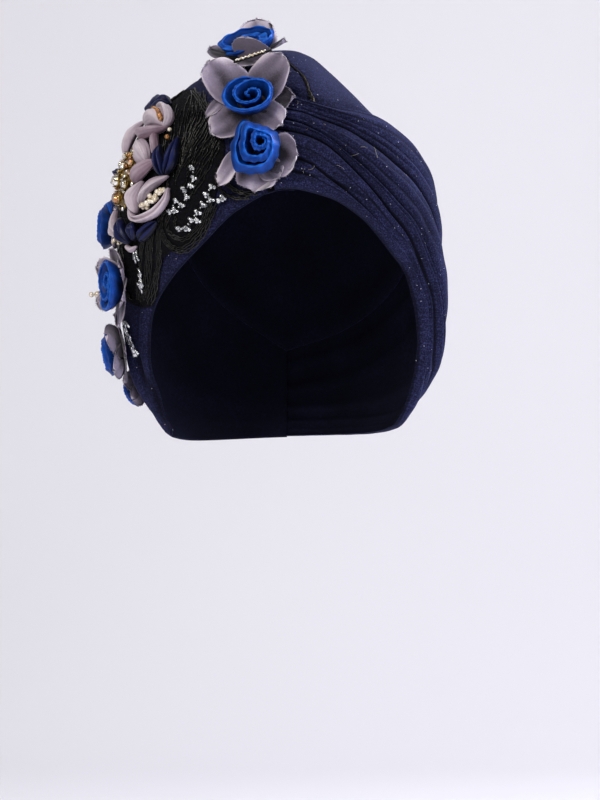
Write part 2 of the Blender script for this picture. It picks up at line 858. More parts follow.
def rounded_rim(outer: Array, inner: Array, outward: Array, steps: int = 4) -> Array:
    """Rows that round off an edge between an outer and an inner row.

    Args:
        outer: the outer wall's last row.
        inner: the inner wall's last row.
        outward: directions in which the edge bulges.
        steps: number of rows.

    Returns:
        The rows, from the outer to the inner side.
    """
    middle, half = (outer + inner) / 2, (outer - inner) / 2
    thick = np.linalg.norm(half, axis=-1, keepdims=True)
    turns = np.linspace(0, math.pi, steps + 2)[1:-1]
    bulge = unit(outward) * thick
    return np.stack([middle + half * math.cos(turn) + bulge * math.sin(turn) for turn in turns])


def lay_uv(made: Piece, places: Array) -> None:
    """Gives a piece its cloth UV map, from (u, v) in metres for each of its points.

    Args:
        made: the piece.
        places: (u, v) in metres for each point.
    """
    layer = made.data.uv_layers.new(name="cloth")
    corner = np.zeros(len(made.data.loops), np.int32)
    made.data.loops.foreach_get("vertex_index", corner)
    layer.uv.foreach_set("vector", places.reshape(-1, 2)[corner].astype(np.float32).ravel())


def add_wall(
    name: str,
    outer: Array,
    inner: Array,
    material: Finish,
    uv: Array | None = None,
    depth: Array | None = None,
) -> Piece:
    """A cloth wall from grids of outer and inner points, with its free edges rounded off.

    Args:
        name: the piece's name.
        outer: rows by columns of points in mm.
        inner: the same number of columns, any number of rows.
        material: its finish.
        uv: (u, v) in metres for each outer point.
        depth: a tone for each outer point.

    Returns:
        The new object.
    """
    foot = rounded_rim(outer[-1], inner[-1], outer[-1] - outer[-2])
    head = rounded_rim(inner[0], outer[0], outer[0] - outer[1])
    ring = np.concatenate([outer, foot, inner[::-1], head])
    rows, columns = ring.shape[:2]
    faces: list[tuple[int, ...]] = []
    for r in range(rows):
        faces += quads(r * columns, (r + 1) % rows * columns, columns, False)
    faces.append(tuple(r * columns for r in range(rows))[::-1])
    faces.append(tuple((r + 1) * columns - 1 for r in range(rows)))
    tones = None
    if depth is not None:
        tones = np.full((rows, columns), 0.4)
        tones[: len(outer)] = depth
    made = add_piece(name, ring.reshape(-1, 3), faces, material, tones)
    if uv is not None:
        spread = np.zeros((rows, columns, 2))
        spread[: len(outer)] = uv
        spread[len(outer) : rows - len(head)] = uv[-1]
        spread[rows - len(head) :] = uv[0]
        lay_uv(made, spread)
    return made


def back_with(made: Piece, material: Finish, first: int, count: int) -> None:
    """Gives a run of a piece's faces a second finish.

    Args:
        made: the piece.
        material: the finish.
        first: number of the first face.
        count: how many faces.
    """
    made.data.materials.append(material)
    for face in made.data.polygons[first : first + count]:
        face.material_index = 1


def add_tube(
    name: str, rings: Array, material: Finish, depth: Array | None = None, ends: Array | None = None
) -> Piece:
    """A closed body through rings of points, with a fan to a point at each end.

    Args:
        name: the piece's name.
        rings: rings by sides of points in mm.
        material: its finish.
        depth: a tone for each ring point.
        ends: the two end points, or None for the middles of the end rings.

    Returns:
        The new object.
    """
    count, sides = rings.shape[:2]
    tips = np.stack([rings[0].mean(axis=0), rings[-1].mean(axis=0)]) if ends is None else ends
    points = np.concatenate([tips, rings.reshape(-1, 3)])
    faces: list[tuple[int, ...]] = [(0, 2 + k, 2 + (k + 1) % sides) for k in range(sides)]
    for r in range(count - 1):
        faces += quads(2 + r * sides, 2 + (r + 1) * sides, sides, True)
    last = 2 + (count - 1) * sides
    faces += [(1, last + (k + 1) % sides, last + k) for k in range(sides)]
    tones = None
    if depth is not None:
        tones = np.concatenate([[depth[0].mean(), depth[-1].mean()], depth.ravel()])
    return add_piece(name, points, faces, material, tones)


def interface(tree: Tree, **inputs: Any) -> dict[str, Any]:
    """Gives a Geometry Nodes tree its geometry sockets and its named inputs.

    Args:
        tree: the tree.
        inputs: each input's name and default, which is None for the finish.

    Returns:
        The sockets that bring in the geometry and each input, by name.
    """
    kinds = {float: "NodeSocketFloat", int: "NodeSocketInt", type(None): "NodeSocketMaterial"}
    tree.interface.new_socket("Geometry", in_out="INPUT", socket_type="NodeSocketGeometry")
    tree.interface.new_socket("Geometry", in_out="OUTPUT", socket_type="NodeSocketGeometry")
    for name, default in inputs.items():
        socket = tree.interface.new_socket(name, in_out="INPUT", socket_type=kinds[type(default)])
        if default is not None:
            socket.default_value = default
    return dict(tree.nodes.new("NodeGroupInput").outputs.items())


def finish_tree(tree: Tree, shape: Any, material: Any) -> Tree:
    """Ends a Geometry Nodes tree: instances made real, smooth, with its finish.

    Args:
        tree: the tree.
        shape: node or socket with the geometry.
        material: the finish.

    Returns:
        The tree.
    """
    real = node(tree, "GeometryNodeRealizeInstances", {0: shape})
    smooth = node(tree, "GeometryNodeSetShadeSmooth", {0: real})
    dressed = node(tree, "GeometryNodeSetMaterial", {"Geometry": smooth, "Material": material})
    node(tree, "NodeGroupOutput", {0: dressed})
    return tree


class Growth:
    """Geometry Nodes trees for what repeats, and how they are run."""

    def __init__(self) -> None:
        """Builds the trees."""
        self.strands = self._strands()
        self.beads = self._beads()
        self.tubes = self._tubes()

    @staticmethod
    def _strands() -> Tree:
        """Chains of edges become round strands.

        Returns:
            The tree.
        """
        tree = bpy.data.node_groups.new("round_strands", "GeometryNodeTree")
        given = interface(tree, Radius=0.0004, Sides=5, Finish=None)
        curve = node(tree, "GeometryNodeMeshToCurve", {"Mesh": given["Geometry"]})
        circle = {"Resolution": given["Sides"], "Radius": given["Radius"]}
        profile = node(tree, "GeometryNodeCurvePrimitiveCircle", circle)
        section = {"Curve": curve, "Profile Curve": profile, "Fill Caps": True}
        return finish_tree(tree, node(tree, "GeometryNodeCurveToMesh", section), given["Finish"])

    @staticmethod
    def _beads() -> Tree:
        """A round bead on each point, sized by the points' own size and turned at random.

        Returns:
            The tree.
        """
        tree = bpy.data.node_groups.new("round_beads", "GeometryNodeTree")
        given = interface(tree, Spread=0.12, Length=0.85, Seed=3, Finish=None)
        ball = node(tree, "GeometryNodeMeshUVSphere", {"Segments": 10, "Rings": 6, "Radius": 1.0})
        flat = node(tree, "ShaderNodeCombineXYZ", {"X": 1.0, "Y": 1.0, "Z": given["Length"]})
        bead = node(tree, "GeometryNodeTransform", {"Geometry": ball, "Scale": flat})
        size = node(tree, "GeometryNodeInputNamedAttribute", {"Name": "size"}, data_type="FLOAT")
        low = node(tree, "ShaderNodeMath", {0: 1.0, 1: given["Spread"]}, operation="SUBTRACT")
        high = node(tree, "ShaderNodeMath", {0: 1.0, 1: given["Spread"]}, operation="ADD")
        between = {"Min": low, "Max": high, "Seed": given["Seed"]}
        vary = node(tree, "FunctionNodeRandomValue", between, data_type="FLOAT")
        grown = node(tree, "ShaderNodeMath", {0: size, 1: vary.outputs[1]}, operation="MULTIPLY")
        between = {"Min": (0.0, 0.0, 0.0), "Max": (6.3, 6.3, 6.3), "Seed": given["Seed"]}
        turn = node(tree, "FunctionNodeRandomValue", between, data_type="FLOAT_VECTOR")
        each = {"Points": given["Geometry"], "Instance": bead, "Rotation": turn, "Scale": grown}
        return finish_tree(tree, node(tree, "GeometryNodeInstanceOnPoints", each), given["Finish"])

    @staticmethod
    def _tubes() -> Tree:
        """A bugle bead on each point, along the points' own direction.

        Returns:
            The tree.
        """
        tree = bpy.data.node_groups.new("bugle_beads", "GeometryNodeTree")
        given = interface(tree, Radius=0.0008, Length=0.005, Finish=None)
        rod = {"Vertices": 8, "Radius": given["Radius"], "Depth": given["Length"]}
        bugle = node(tree, "GeometryNodeMeshCylinder", rod)
        way = node(tree, "GeometryNodeInputNamedAttribute", {"Name": "way"}, data_type="FLOAT_VECTOR")
        turn = node(tree, "FunctionNodeAlignRotationToVector", {"Vector": way}, axis="Z")
        each = {"Points": given["Geometry"], "Instance": bugle, "Rotation": turn}
        return finish_tree(tree, node(tree, "GeometryNodeInstanceOnPoints", each), given["Finish"])

    @staticmethod
    def run(name: str, mesh: bpy.types.Mesh, tree: Tree, values: dict[str, Any]) -> Piece:
        """Runs a tree on a mesh and keeps the result as a plain mesh piece.

        Args:
            name: the piece's name.
            mesh: what the tree grows on.
            tree: the tree.
            values: its named inputs.

        Returns:
            The new object.
        """
        source = new_object(f"{name}_source", mesh)
        modifier = source.modifiers.new("growth", "NODES")
        modifier.node_group = tree
        for item in tree.interface.items_tree:
            if item.item_type == "SOCKET" and item.in_out == "INPUT" and item.name in values:
                modifier[item.identifier] = values[item.name]
        evaluated = source.evaluated_get(bpy.context.evaluated_depsgraph_get())
        grown = bpy.data.meshes.new_from_object(evaluated)
        grown.name = name
        made = new_object(name, grown)
        bpy.data.objects.remove(source)
        if not grown.materials or grown.materials[0] is None:
            grown.materials.clear()
            grown.materials.append(values["Finish"])
        return made

    def strand(
        self, name: str, paths: Sequence[Array], radius: float, finish: Finish, slot: str,
        sides: int = 5,
    ) -> Piece:
        """Round strands along paths, dressed.

        Args:
            name: the piece's name.
            paths: rows of points in mm.
            radius: the strands' radius in mm.
            finish: their finish.
            slot: their material slot.
            sides: sides of a strand's section.

        Returns:
            The new object.
        """
        values = {"Radius": radius * MM, "Sides": sides, "Finish": finish}
        return dress(self.run(name, chain_mesh(paths), self.strands, values), slot)

    def string(
        self, name: str, points: Any, sizes: Any, look: tuple[float, float, int],
        finish: Finish, slot: str, *replaced: str,
    ) -> Piece:
        """Round beads on points, dressed.

        Args:
            name: the piece's name.
            points: points in mm.
            sizes: radius in mm of each bead.
            look: the beads' spread of size, their length over their width, and the seed.
            finish: their finish.
            slot: their material slot.
            replaced: names of the nodes that they stand for.

        Returns:
            The new object.
        """
        mesh = point_mesh(np.array(points), np.array(sizes))
        values = dict(zip(("Spread", "Length", "Seed"), look), Finish=finish)
        return dress(self.run(name, mesh, self.beads, values), slot, *replaced)


def chain_mesh(paths: Sequence[Array]) -> bpy.types.Mesh:
    """A mesh of edges along paths in mm.

    Args:
        paths: rows of points in mm.

    Returns:
        The new mesh.
    """
    mesh = bpy.data.meshes.new("paths")
    points: list[Any] = []
    edges: list[tuple[int, int]] = []
    for path in paths:
        start = len(points)
        points += (np.asarray(path) * MM).tolist()
        edges += [(start + k, start + k + 1) for k in range(len(path) - 1)]
    mesh.from_pydata(points, edges, [])
    return mesh


def point_mesh(points: Array, size: Array | None = None, way: Array | None = None) -> bpy.types.Mesh:
    """A mesh of loose points in mm, with their sizes in mm or their directions.

    Args:
        points: points in mm.
        size: radius in mm for each point.
        way: a direction for each point.

    Returns:
        The new mesh.
    """
    mesh = bpy.data.meshes.new("points")
    mesh.from_pydata((np.asarray(points) * MM).tolist(), [], [])
    if size is not None:
        values = (np.asarray(size) * MM).astype(np.float32)
        mesh.attributes.new("size", "FLOAT", "POINT").data.foreach_set("value", values)
    if way is not None:
        values = np.asarray(way).astype(np.float32).ravel()
        mesh.attributes.new("way", "FLOAT_VECTOR", "POINT").data.foreach_set("vector", values)
    return mesh


def dress(piece: Piece, slot: str, *replaced: str) -> Piece:
    """A finished piece: it rides on the turban, takes a slot and stands for nodes.

    Args:
        piece: the piece.
        slot: its material slot.
        replaced: nodes that it stands for.

    Returns:
        The piece.
    """
    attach(piece, "root")
    if replaced:
        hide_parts(*replaced)
    LOG.info("%s: %d faces", piece.name, len(piece.data.polygons))
    return piece


def cloth_uv(azimuth: Array, travel: Array) -> Array:
    """(u, v) in metres along and down the cloth."""
    return np.stack(np.broadcast_arrays(azimuth * MM_PER_DEGREE * MM, travel * MM), axis=-1)


class Maker:
    """A sub-assembly, made from the shared finishes and trees."""

    wardrobe: ClassVar[Wardrobe]
    growth: ClassVar[Growth]


@dataclass
class Hood(Maker):
    """The three pieces of velour: sizes in mm, paths as (azimuth, height) points."""

    wall: float = 2.0
    tuck_depth: float = 3.0
    tuck_width: float = 8.0
    front_tuck: float = 3.2
    groove_width: float = 1.7
    pucker_gap: float = 5.2
    lint_count: int = 110
    seam_path: Pairs = ((-6, 36.5), (1.7, 32), (9.5, 27.2), (14.7, 24.1), (17.8, 20.3), (18.4, 14), (18.2, 4))
    left_groove: Pairs = ((-87, -146), (-88.4, -152), (-90.4, -164), (-93, -177), (-101, -190))

    def panel_offset(self, azimuth: Array, travel: Array) -> Array:
        """Unevenness of the left panel's outer face, with its turned hem.

        Args:
            azimuth: degrees.
            travel: mm down from the top.

        Returns:
            Offset in mm.
        """
        above = FORM.travel_at(FORM.hem.at(azimuth)) - travel
        soft = 0.35 * waver(azimuth, travel, 44, 5) * ease(above, 0, 12)
        fold = 2.0 * crease(azimuth, travel, self.left_groove, 3.4)
        side = 1.3 * crease(azimuth + 4.5, travel, self.left_groove, 4.5)
        hem = 0.7 * bump(above, 4.5, 3.2) - 0.55 * bump(above, 9.5, 1.3)
        return soft - fold + side + hem * ease(azimuth, -180, -170)

    def crown_offset(self, azimuth: Array, seam: Array, travel: Array) -> Array:
        """Unevenness of the crown's outer face, with its tucked edge and the puckered front seam.

        Args:
            azimuth: degrees.
            seam: travel of the crown's lower edge at each azimuth.
            travel: mm down from the top.

        Returns:
            Offset in mm.
        """
        front = ease(azimuth, -16, -9) * (1 - ease(azimuth, 6, 12))
        tucked = -(self.tuck_depth + self.front_tuck * front) * ease(travel, seam - 11, seam - 1)
        soft = 0.5 * waver(azimuth, travel, 60, 2) * ease(travel, 12, 40)
        groove = crease(azimuth, travel, self.seam_path, self.groove_width)
        beside = crease(azimuth, travel, self.seam_path, 6.5)
        puckers = beside * np.sin(2 * math.pi * travel / self.pucker_gap)
        return tucked + soft - 1.5 * groove + 0.35 * puckers

    def crown(self) -> Piece:
        """The smooth puff over the top, with its front seam.

        Returns:
            The new object.
        """
        azimuth = np.arange(-180, 180, 1.25)[None, :]
        around = azimuth.shape[1]
        top_line = np.where(azimuth > 0, FORM.gathers[-1].at(azimuth), FORM.left_top.at(azimuth))
        seam = FORM.travel_at(top_line)
        travel, inner_travel = (
            np.linspace(0.01, 1, rows)[:, None] * (seam + self.tuck_width) for rows in (100, 30)
        )
        outer = FORM.cloth(azimuth, travel, self.crown_offset(azimuth, seam, travel))
        inner = FORM.cloth(azimuth, inner_travel, self.crown_offset(azimuth, seam, inner_travel) - self.wall)
        foot = rounded_rim(outer[-1], inner[-1], outer[-1] - outer[-2])
        rings = np.concatenate([outer, foot, inner[::-1]])
        top = np.array([0.0, 0.0, SECTIONS[0][0]])
        ends = np.stack([top, top - np.array([0, 0, self.wall])])
        groove = crease(azimuth, travel, self.seam_path, self.groove_width)
        depth = np.full(rings.shape[:2], 0.6)
        depth[: len(outer)] = 0.6 - 0.6 * groove - 0.5 * ease(travel, seam - 7, seam - 1)
        made = add_tube("crown_drape_cloth", rings, self.wardrobe.velour, np.clip(depth, 0, 1), ends)
        back_with(made, self.wardrobe.reverse, (len(outer) + 3) * around, len(made.data.polygons))
        spread = np.zeros((len(rings), around, 2))
        spread[: len(outer)] = cloth_uv(azimuth, travel)
        lay_uv(made, np.concatenate([np.zeros((2, 2)), spread.reshape(-1, 2)]))
        return made

    def fold_rows(self, azimuth: Array, steps: int) -> tuple[Array, Array, Array]:
        """Travel, offset and depth tone over the gathered band.

        Args:
            azimuth: one row of azimuths.
            steps: rows in each fold.

        Returns:
            Rows by columns of travel, offset and tone, from the top edge to the hem.
        """
        lines = [FORM.travel_at(line.at(azimuth)) for line in (FORM.hem, *FORM.gathers)]
        height = Line(list(zip(GATHER_AZIMUTHS, GATHER_HEIGHTS))).at(azimuth)
        lift = Line(list(zip(GATHER_AZIMUTHS, GATHER_LIFT))).at(azimuth)
        travels, offsets, tones = [], [], []
        near_gather = 1 - ease(azimuth, 25, 75)
        for fold, (low, high) in enumerate(zip(lines, lines[1:])):
            for step in range(steps):
                share = step / steps
                whole = lift * (1.0 if fold else ease(share, 0, 0.3))
                pinch = 1 - 0.65 * ease(azimuth, 26, 50)
                low_end = pinch if fold < 2 else 1.0
                high_end = pinch if fold < 1 else 1.0
                swell = (4 * share * (1 - share)) ** 0.6 * low_end
                dark = bump(share, 0, 0.08) * (low_end if fold else 0.3) + bump(share, 1, 0.08) * high_end
                value = whole + (1.25 + 0.5 * near_gather) * height * swell
                value = value + (0.42 * near_gather + 0.12) * np.sin(2 * math.pi * 2.5 * share + 1.7 * fold)
                for where, start, end, deep, first, last in MINOR_CREASES:
                    if where == fold:
                        along = ease(azimuth, first - 6, first + 4) * (1 - ease(azimuth, last - 22, last))
                        middle = start + (end - start) * azimuth / 180
                        value = value - deep * along * bump(share, middle, 0.07)
                        dark = dark + 0.75 * along * bump(share, middle, 0.05)
                travels.append(low + share * (high - low))
                offsets.append(value)
                tones.append(1 - 0.95 * np.clip(dark, 0, 1) * (1 - 0.5 * ease(azimuth, 90, 150)))
        tones.append(np.full(azimuth.shape, 0.2))
        travels.append(lines[-1])
        offsets.append(np.full(azimuth.shape, 0.2))
        travel, offset = np.stack(travels[::-1]), np.stack(offsets[::-1])
        return travel, offset + 0.3 * waver(azimuth, travel, 26, 9), np.stack(tones[::-1])

    def lined(self, name: str, outer: Array, inner: Array, uv: Array, depth: Array) -> Piece:
        """A velour wall that shows its knit back inside.

        Args:
            name: the piece's name.
            outer: its outer points.
            inner: its inner points.
            uv: (u, v) for each outer point.
            depth: a tone for each outer point.

        Returns:
            The new object.
        """
        made = add_wall(name, outer, inner, self.wardrobe.velour, uv, np.clip(depth, 0, 1))
        strips = outer.shape[1] - 1
        back_with(made, self.wardrobe.reverse, (len(outer) + 3) * strips, (len(inner) - 1) * strips)
        return made

    def wrap(self) -> Piece:
        """The gathered band round the right side.

        Returns:
            The new object.
        """
        azimuth = np.concatenate([[-4.0], np.arange(-3.5, 100, 0.55), np.arange(100, 179.5, 1.1), [180.2]])
        travel, offset, depth = self.fold_rows(azimuth, 18)
        outer = FORM.cloth(azimuth, travel, offset)
        inner_travel, inner_offset, _ = self.fold_rows(azimuth, 5)
        inner = FORM.cloth(azimuth, inner_travel, 0.85 * inner_offset - self.wall)
        above = FORM.travel_at(FORM.hem.at(azimuth)) - travel
        tone = depth - 0.5 * bump(above, 9, 1.2)
        return self.lined("pleated_wrap_cloth", outer, inner, cloth_uv(azimuth, travel), tone)

    def side_rows(self, azimuth: Array, rows: int) -> tuple[Array, Array]:
        """Travel and offset over the left side.

        Args:
            azimuth: one row of azimuths.
            rows: rows from its top edge to the hem.

        Returns:
            Rows by columns of travel and of offset.
        """
        top = FORM.travel_at(FORM.left_top.at(azimuth))
        hem = FORM.travel_at(FORM.hem.at(azimuth))
        travel = top + np.linspace(0, 1, rows)[:, None] ** 0.9 * (hem - top)
        tuck = -self.front_tuck * ease(azimuth, -8.5, -5)
        return travel, self.panel_offset(azimuth[None, :], travel) * (1 - ease(azimuth, -12, -7)) + tuck

    def side(self) -> Piece:
        """The smooth left side.

        Returns:
            The new object.
        """
        azimuth = np.concatenate([[-180.2], np.arange(-178.5, -9, 1.0), np.arange(-9, 4.1, 0.5)])
        travel, offset = self.side_rows(azimuth, 110)
        outer = FORM.cloth(azimuth, travel, offset)
        inner_travel, inner_offset = self.side_rows(azimuth, 26)
        inner = FORM.cloth(azimuth, inner_travel, inner_offset - self.wall)
        tone = 0.75 + 0.3 * offset
        return self.lined("left_panel_cloth", outer, inner, cloth_uv(azimuth, travel), tone)

    def threads(self) -> None:
        """Stitches along the crown's seam, its loose thread end, and lint caught in the nap."""
        path = through([(a, float(FORM.travel_at(h))) for a, h in self.seam_path], 70)
        rng = np.random.default_rng(11)
        stitches = []
        for a, t in path[1:68:2]:
            cross = rng.uniform(-0.5, 0.5)
            ends = np.array([[a - 0.9, t - 1.2 + cross], [a, t], [a + 0.9, t + 1.0 - cross]])
            stitches.append(FORM.cloth(ends[:, 0], ends[:, 1], np.array([-0.2, 0.25, -0.2])))
        self.growth.strand("crown_seam_stitches", stitches, 0.4, self.wardrobe.black_thread, "black_lace")
        end = through([(17.2, 21), (18.6, 16), (18.2, 12), (19.2, 8.5), (19.6, 3.2)], 26)
        tail = through([(16.2, 21.6), (17.6, 20.4), (18.4, 17)], 12)
        loose = [
            FORM.seat(end[:, 0], end[:, 1], 0.8),
            FORM.seat(end[:, 0] + 0.45 * np.sin(np.arange(26) * 1.3), end[:, 1], 0.9),
            FORM.seat(tail[:, 0], tail[:, 1], 1.0),
        ]
        self.growth.strand("crown_seam_thread_end", loose, 0.24, self.wardrobe.gold_thread, "gilt_metal")
        self.lint()

    def lint(self) -> None:
        """Pale fibres lying on the nap, most of them on the gathered side."""
        rng = np.random.default_rng(23)
        spots = [(40, -22, 9), (31, -24, 6), (31, -27, 5), (20, -34, 6), (52, -38, 4)]
        spots += [(7, 4, 4), (12, -33, 6)]
        for _ in range(self.lint_count):
            azimuth = rng.uniform(-175, 170)
            low = float(FORM.hem.at(azimuth)) + 8
            spots.append((azimuth, rng.uniform(low, 10), rng.uniform(0.5, 1.6)))
        paths = []
        for azimuth, height, length in spots:
            angle, bend = rng.uniform(0, math.pi), rng.uniform(-0.9, 0.9)
            turn = angle + bend * np.linspace(-0.5, 0.5, 7) * 2
            x, y = np.cumsum(np.cos(turn)) * length / 7, np.cumsum(np.sin(turn)) * length / 7
            travel = float(FORM.travel_at(height))
            at = azimuth + x / FORM.scale(azimuth, travel)
            paths.append(FORM.cloth(at, travel + y, self.nap_height(at, travel + y) + 0.25))
        self.growth.strand("lint_fibres", paths, 0.07, self.wardrobe.lint, "grey_lavender_cloth", 3)

    def nap_height(self, azimuth: Array, travel: Array) -> Array:
        """Offset of the outer cloth at places on either side.

        Args:
            azimuth: degrees.
            travel: mm down from the top.

        Returns:
            Offset in mm.
        """
        columns, rows = np.atleast_1d(azimuth), np.atleast_1d(travel)
        height = self.panel_offset(columns, rows)
        for k, (a, t) in enumerate(zip(columns, rows)):
            if a > -4:
                travels, offsets, _ = self.fold_rows(np.array([a]), 16)
                edge = travels[0, 0]
                height[k] = np.interp(t, travels[:, 0], offsets[:, 0]) if t > edge else 0.5
        return height

    def build(self) -> None:
        crown = dress(self.crown(), "navy_velour", "crown_drape")
        wrap = dress(self.wrap(), "navy_velour", "pleated_wrap")
        side = dress(self.side(), "navy_velour", "left_panel")
        self.threads()


@dataclass
class Lace(Maker):
    """Corded lace on the left panel, with its seed beads and bugles."""

    hood: Hood
    ground: float = 0.55
    wall: float = 0.45
    cord_radius: float = 0.54
    # Lines that the cords flow between, from the top left to the right edge
    guides: tuple[Pairs, ...] = (
        ((-66, 12), (-61, 2), (-56, -8), (-52, -18), (-49.5, -30), (-48, -44), (-47.5, -54)),
        ((-56, 15.5), (-48.2, 6), (-44.3, -2.4), (-41.9, -12.7), (-41.3, -23.5), (-41, -35), (-42.5, -48)),
        ((-44.6, 12), (-37, 4), (-33.3, -5.7), (-35.6, -15), (-37.6, -26), (-39.4, -34), (-40.8, -43.6)),
        ((-34, 3), (-28, -8), (-27, -16), (-29, -24), (-31.5, -32), (-34.5, -42), (-38.5, -52)),
        ((-30, -2), (-24.5, -14), (-24, -24), (-26, -34), (-29, -43), (-33, -52), (-38, -60)),
    )
    guide_counts: tuple[int, ...] = (6, 8, 7, 5)
    # Bundles of cords side by side: count, spacing mm, path of (azimuth, height)
    bundles: tuple[tuple[int, float, Pairs], ...] = (
        (4, 1.15, ((-44.2, -56.9), (-47.4, -60.8), (-48.3, -65.8), (-48.4, -71.1), (-47.2, -76.6),
                   (-45.2, -80.7), (-42.3, -82.2), (-38.7, -80.6), (-33.8, -75), (-30.5, -69),
                   (-28, -62), (-25.5, -54))),
        (3, 1.05, ((-42.2, -59.6), (-44.6, -63), (-45.4, -67.2), (-45, -71.6), (-43, -74.6), (-40.4, -75.8),
                   (-37.5, -74.2), (-34.2, -70), (-31, -64.5), (-28.5, -58), (-26, -50))),
        (2, 1.0, ((-40.6, -62), (-42, -66), (-41.6, -69.6), (-39.4, -70.6), (-36.6, -68), (-34, -63.5),
                  (-31.5, -58))),
        (5, 1.1, ((-50.9, -63.6), (-53, -69.4), (-54.6, -76.4), (-56.8, -85.1), (-60, -94.5), (-64, -103.8),
                  (-67.6, -110.8))),
        (4, 1.0, ((-48.6, -64.9), (-50.2, -75), (-52.2, -85), (-55.8, -95.5), (-61, -105.6),
                  (-67.2, -114))),
        (3, 1.1, ((-55, -67), (-58, -76), (-61.5, -86), (-65, -96), (-69, -106), (-70.5, -112))),
        (3, 1.0, ((-24.6, -34), (-22.4, -41), (-18.6, -47.4), (-14.6, -49.6), (-9.9, -49.2))),
        (2, 1.0, ((-25.6, -41), (-22.6, -49), (-18, -52.6), (-12.8, -52.2))),
        (4, 1.2, ((-72, 11), (-80, 3), (-86, -8), (-90, -20), (-91.5, -34))),
        (4, 1.3, ((-66, 13.4), (-74, 5), (-80, -6), (-84, -17))),
        (3, 1.2, ((-57.5, 14.6), (-47, 9.5), (-40, 4.5), (-33.6, -2), (-27.6, -10.5), (-24.3, -19))),
        (4, 1.1, ((-84, -88), (-82, -96), (-78, -104), (-73.5, -110))),
        (4, 1.2, ((-92, -44), (-90, -56), (-88, -70), (-88, -84))),
        (3, 1.1, ((-84, 7.5), (-90, -1), (-93.5, -12), (-95.5, -24), (-95.6, -38), (-92, -52), (-90, -66),
                  (-89.6, -80), (-88.8, -92), (-84, -102))),
        (3, 1.1, ((-79, -76), (-84, -80), (-86, -88), (-83, -95), (-78, -93), (-76.5, -86), (-79, -81))),
        (3, 1.1, ((-84, -44), (-88, -48), (-89.5, -55), (-86.5, -61), (-83, -58))),
        (3, 1.1, ((-87, -16), (-90.5, -20), (-91.5, -27), (-88.5, -31), (-85, -28))),
        (3, 1.0, ((-75, -78), (-73.5, -86), (-75.5, -95), (-76.5, -104), (-73, -110))),
    )
    # Places where the silver seed beads cluster, string by string
    strings: tuple[Pairs, ...] = (
        ((-34.1, -33.9), (-32.9, -39.8), (-34.1, -44.5), (-36.8, -46.7), (-35.7, -50.8), (-37.9, -55.4),
         (-40.9, -58.8), (-43.2, -59.3), (-40.2, -53)),
        ((-26.2, -45.3), (-28.6, -49.9), (-26.9, -52.9), (-30, -55.7), (-32.2, -60.3), (-35.2, -64.3),
         (-32.7, -65), (-40.4, -69.4), (-37.3, -69.5)),
        ((-22.6, -51.8), (-23.8, -53.5)),
    )
    # Bundles of bugles: azimuth, height, count
    bugles: tuple[tuple[float, float, int], ...] = (
        (-62.6, -84.9, 6), (-64.6, -93.6, 3), (-65.2, -99, 5), (-65.6, -103.8, 5),
        (-83, -129.5, 7), (-83.6, -135, 8), (-84.6, -140.5, 7), (-81.6, -124, 3),
    )

    def edges(self, height: Array) -> tuple[Array, Array]:
        """Azimuths of the lace's left edge and its scalloped right edge.

        Args:
            height: mm.

        Returns:
            Left and right azimuths.
        """
        left = Line([(-h, a) for h, a, _ in LACE_EDGES]).at(-height)
        right = Line([(-h, a) for h, _, a in LACE_EDGES]).at(-height)
        return left, right + 0.9 * np.abs(np.sin(math.pi * height / 6.5)) - 0.5

    def net(self) -> Piece:
        """The net ground.

        Returns:
            The new object.
        """
        height = np.linspace(LACE_EDGES[0][0], LACE_EDGES[-1][0], 120)[:, None]
        left, right = self.edges(height)
        azimuth = left + np.linspace(0, 1, 90)[None, :] * (right - left)
        travel = FORM.travel_at(height) * np.ones_like(azimuth)
        base = self.hood.panel_offset(azimuth, travel)
        inner = FORM.cloth(azimuth, travel, base + self.ground)
        uneven = 0.12 * waver(azimuth, travel, 7, 4)
        outer = FORM.cloth(azimuth, travel, base + self.ground + self.wall + uneven)
        return add_wall("lace_net", outer, inner, self.wardrobe.net)

    def laid(self, flat: Array, middle: float, travel: float, lift: float) -> Array:
        """Flat places brought on to the lace, or on to bare cloth beside it.

        Args:
            flat: flat places, mm.
            middle: azimuth of the middle.
            travel: mm down from the top.
            lift: mm above the cloth.

        Returns:
            Rows of points in mm.
        """
        scale = FORM.scale(middle, travel)
        azimuth = middle + flat[:, 0] / scale
        return FORM.cloth(azimuth, flat[:, 1], self.hood.panel_offset(azimuth, flat[:, 1]) + lift)

    def field_cords(self, rng: np.random.Generator, lift: float) -> list[Array]:
        """The flowing field of cords between the guide lines.

        Args:
            rng: source of the random draws.
            lift: mm above the cloth.

        Returns:
            The path of each cord.
        """
        paths = []
        curves = [through(guide, 64) for guide in self.guides]
        for a, b, count in zip(curves, curves[1:], self.guide_counts):
            for k in range(count):
                share = (k + rng.uniform(-0.2, 0.2)) / count
                first, last = int(rng.uniform(0, 14)), 64 - int(rng.uniform(0, 16))
                line = (a + (b - a) * np.clip(share, 0, 1))[first:last]
                travel = FORM.travel_at(line[:, 1])
                wave = 0.55 * np.sin(np.arange(len(line)) * rng.uniform(0.3, 0.6) + rng.uniform(0, 6))
                azimuth = line[:, 0] + wave / MM_PER_DEGREE
                offset = self.hood.panel_offset(azimuth, travel) + lift + 0.12 * rng.normal(size=len(line))
                paths.append(FORM.cloth(azimuth, travel, offset))
        return paths

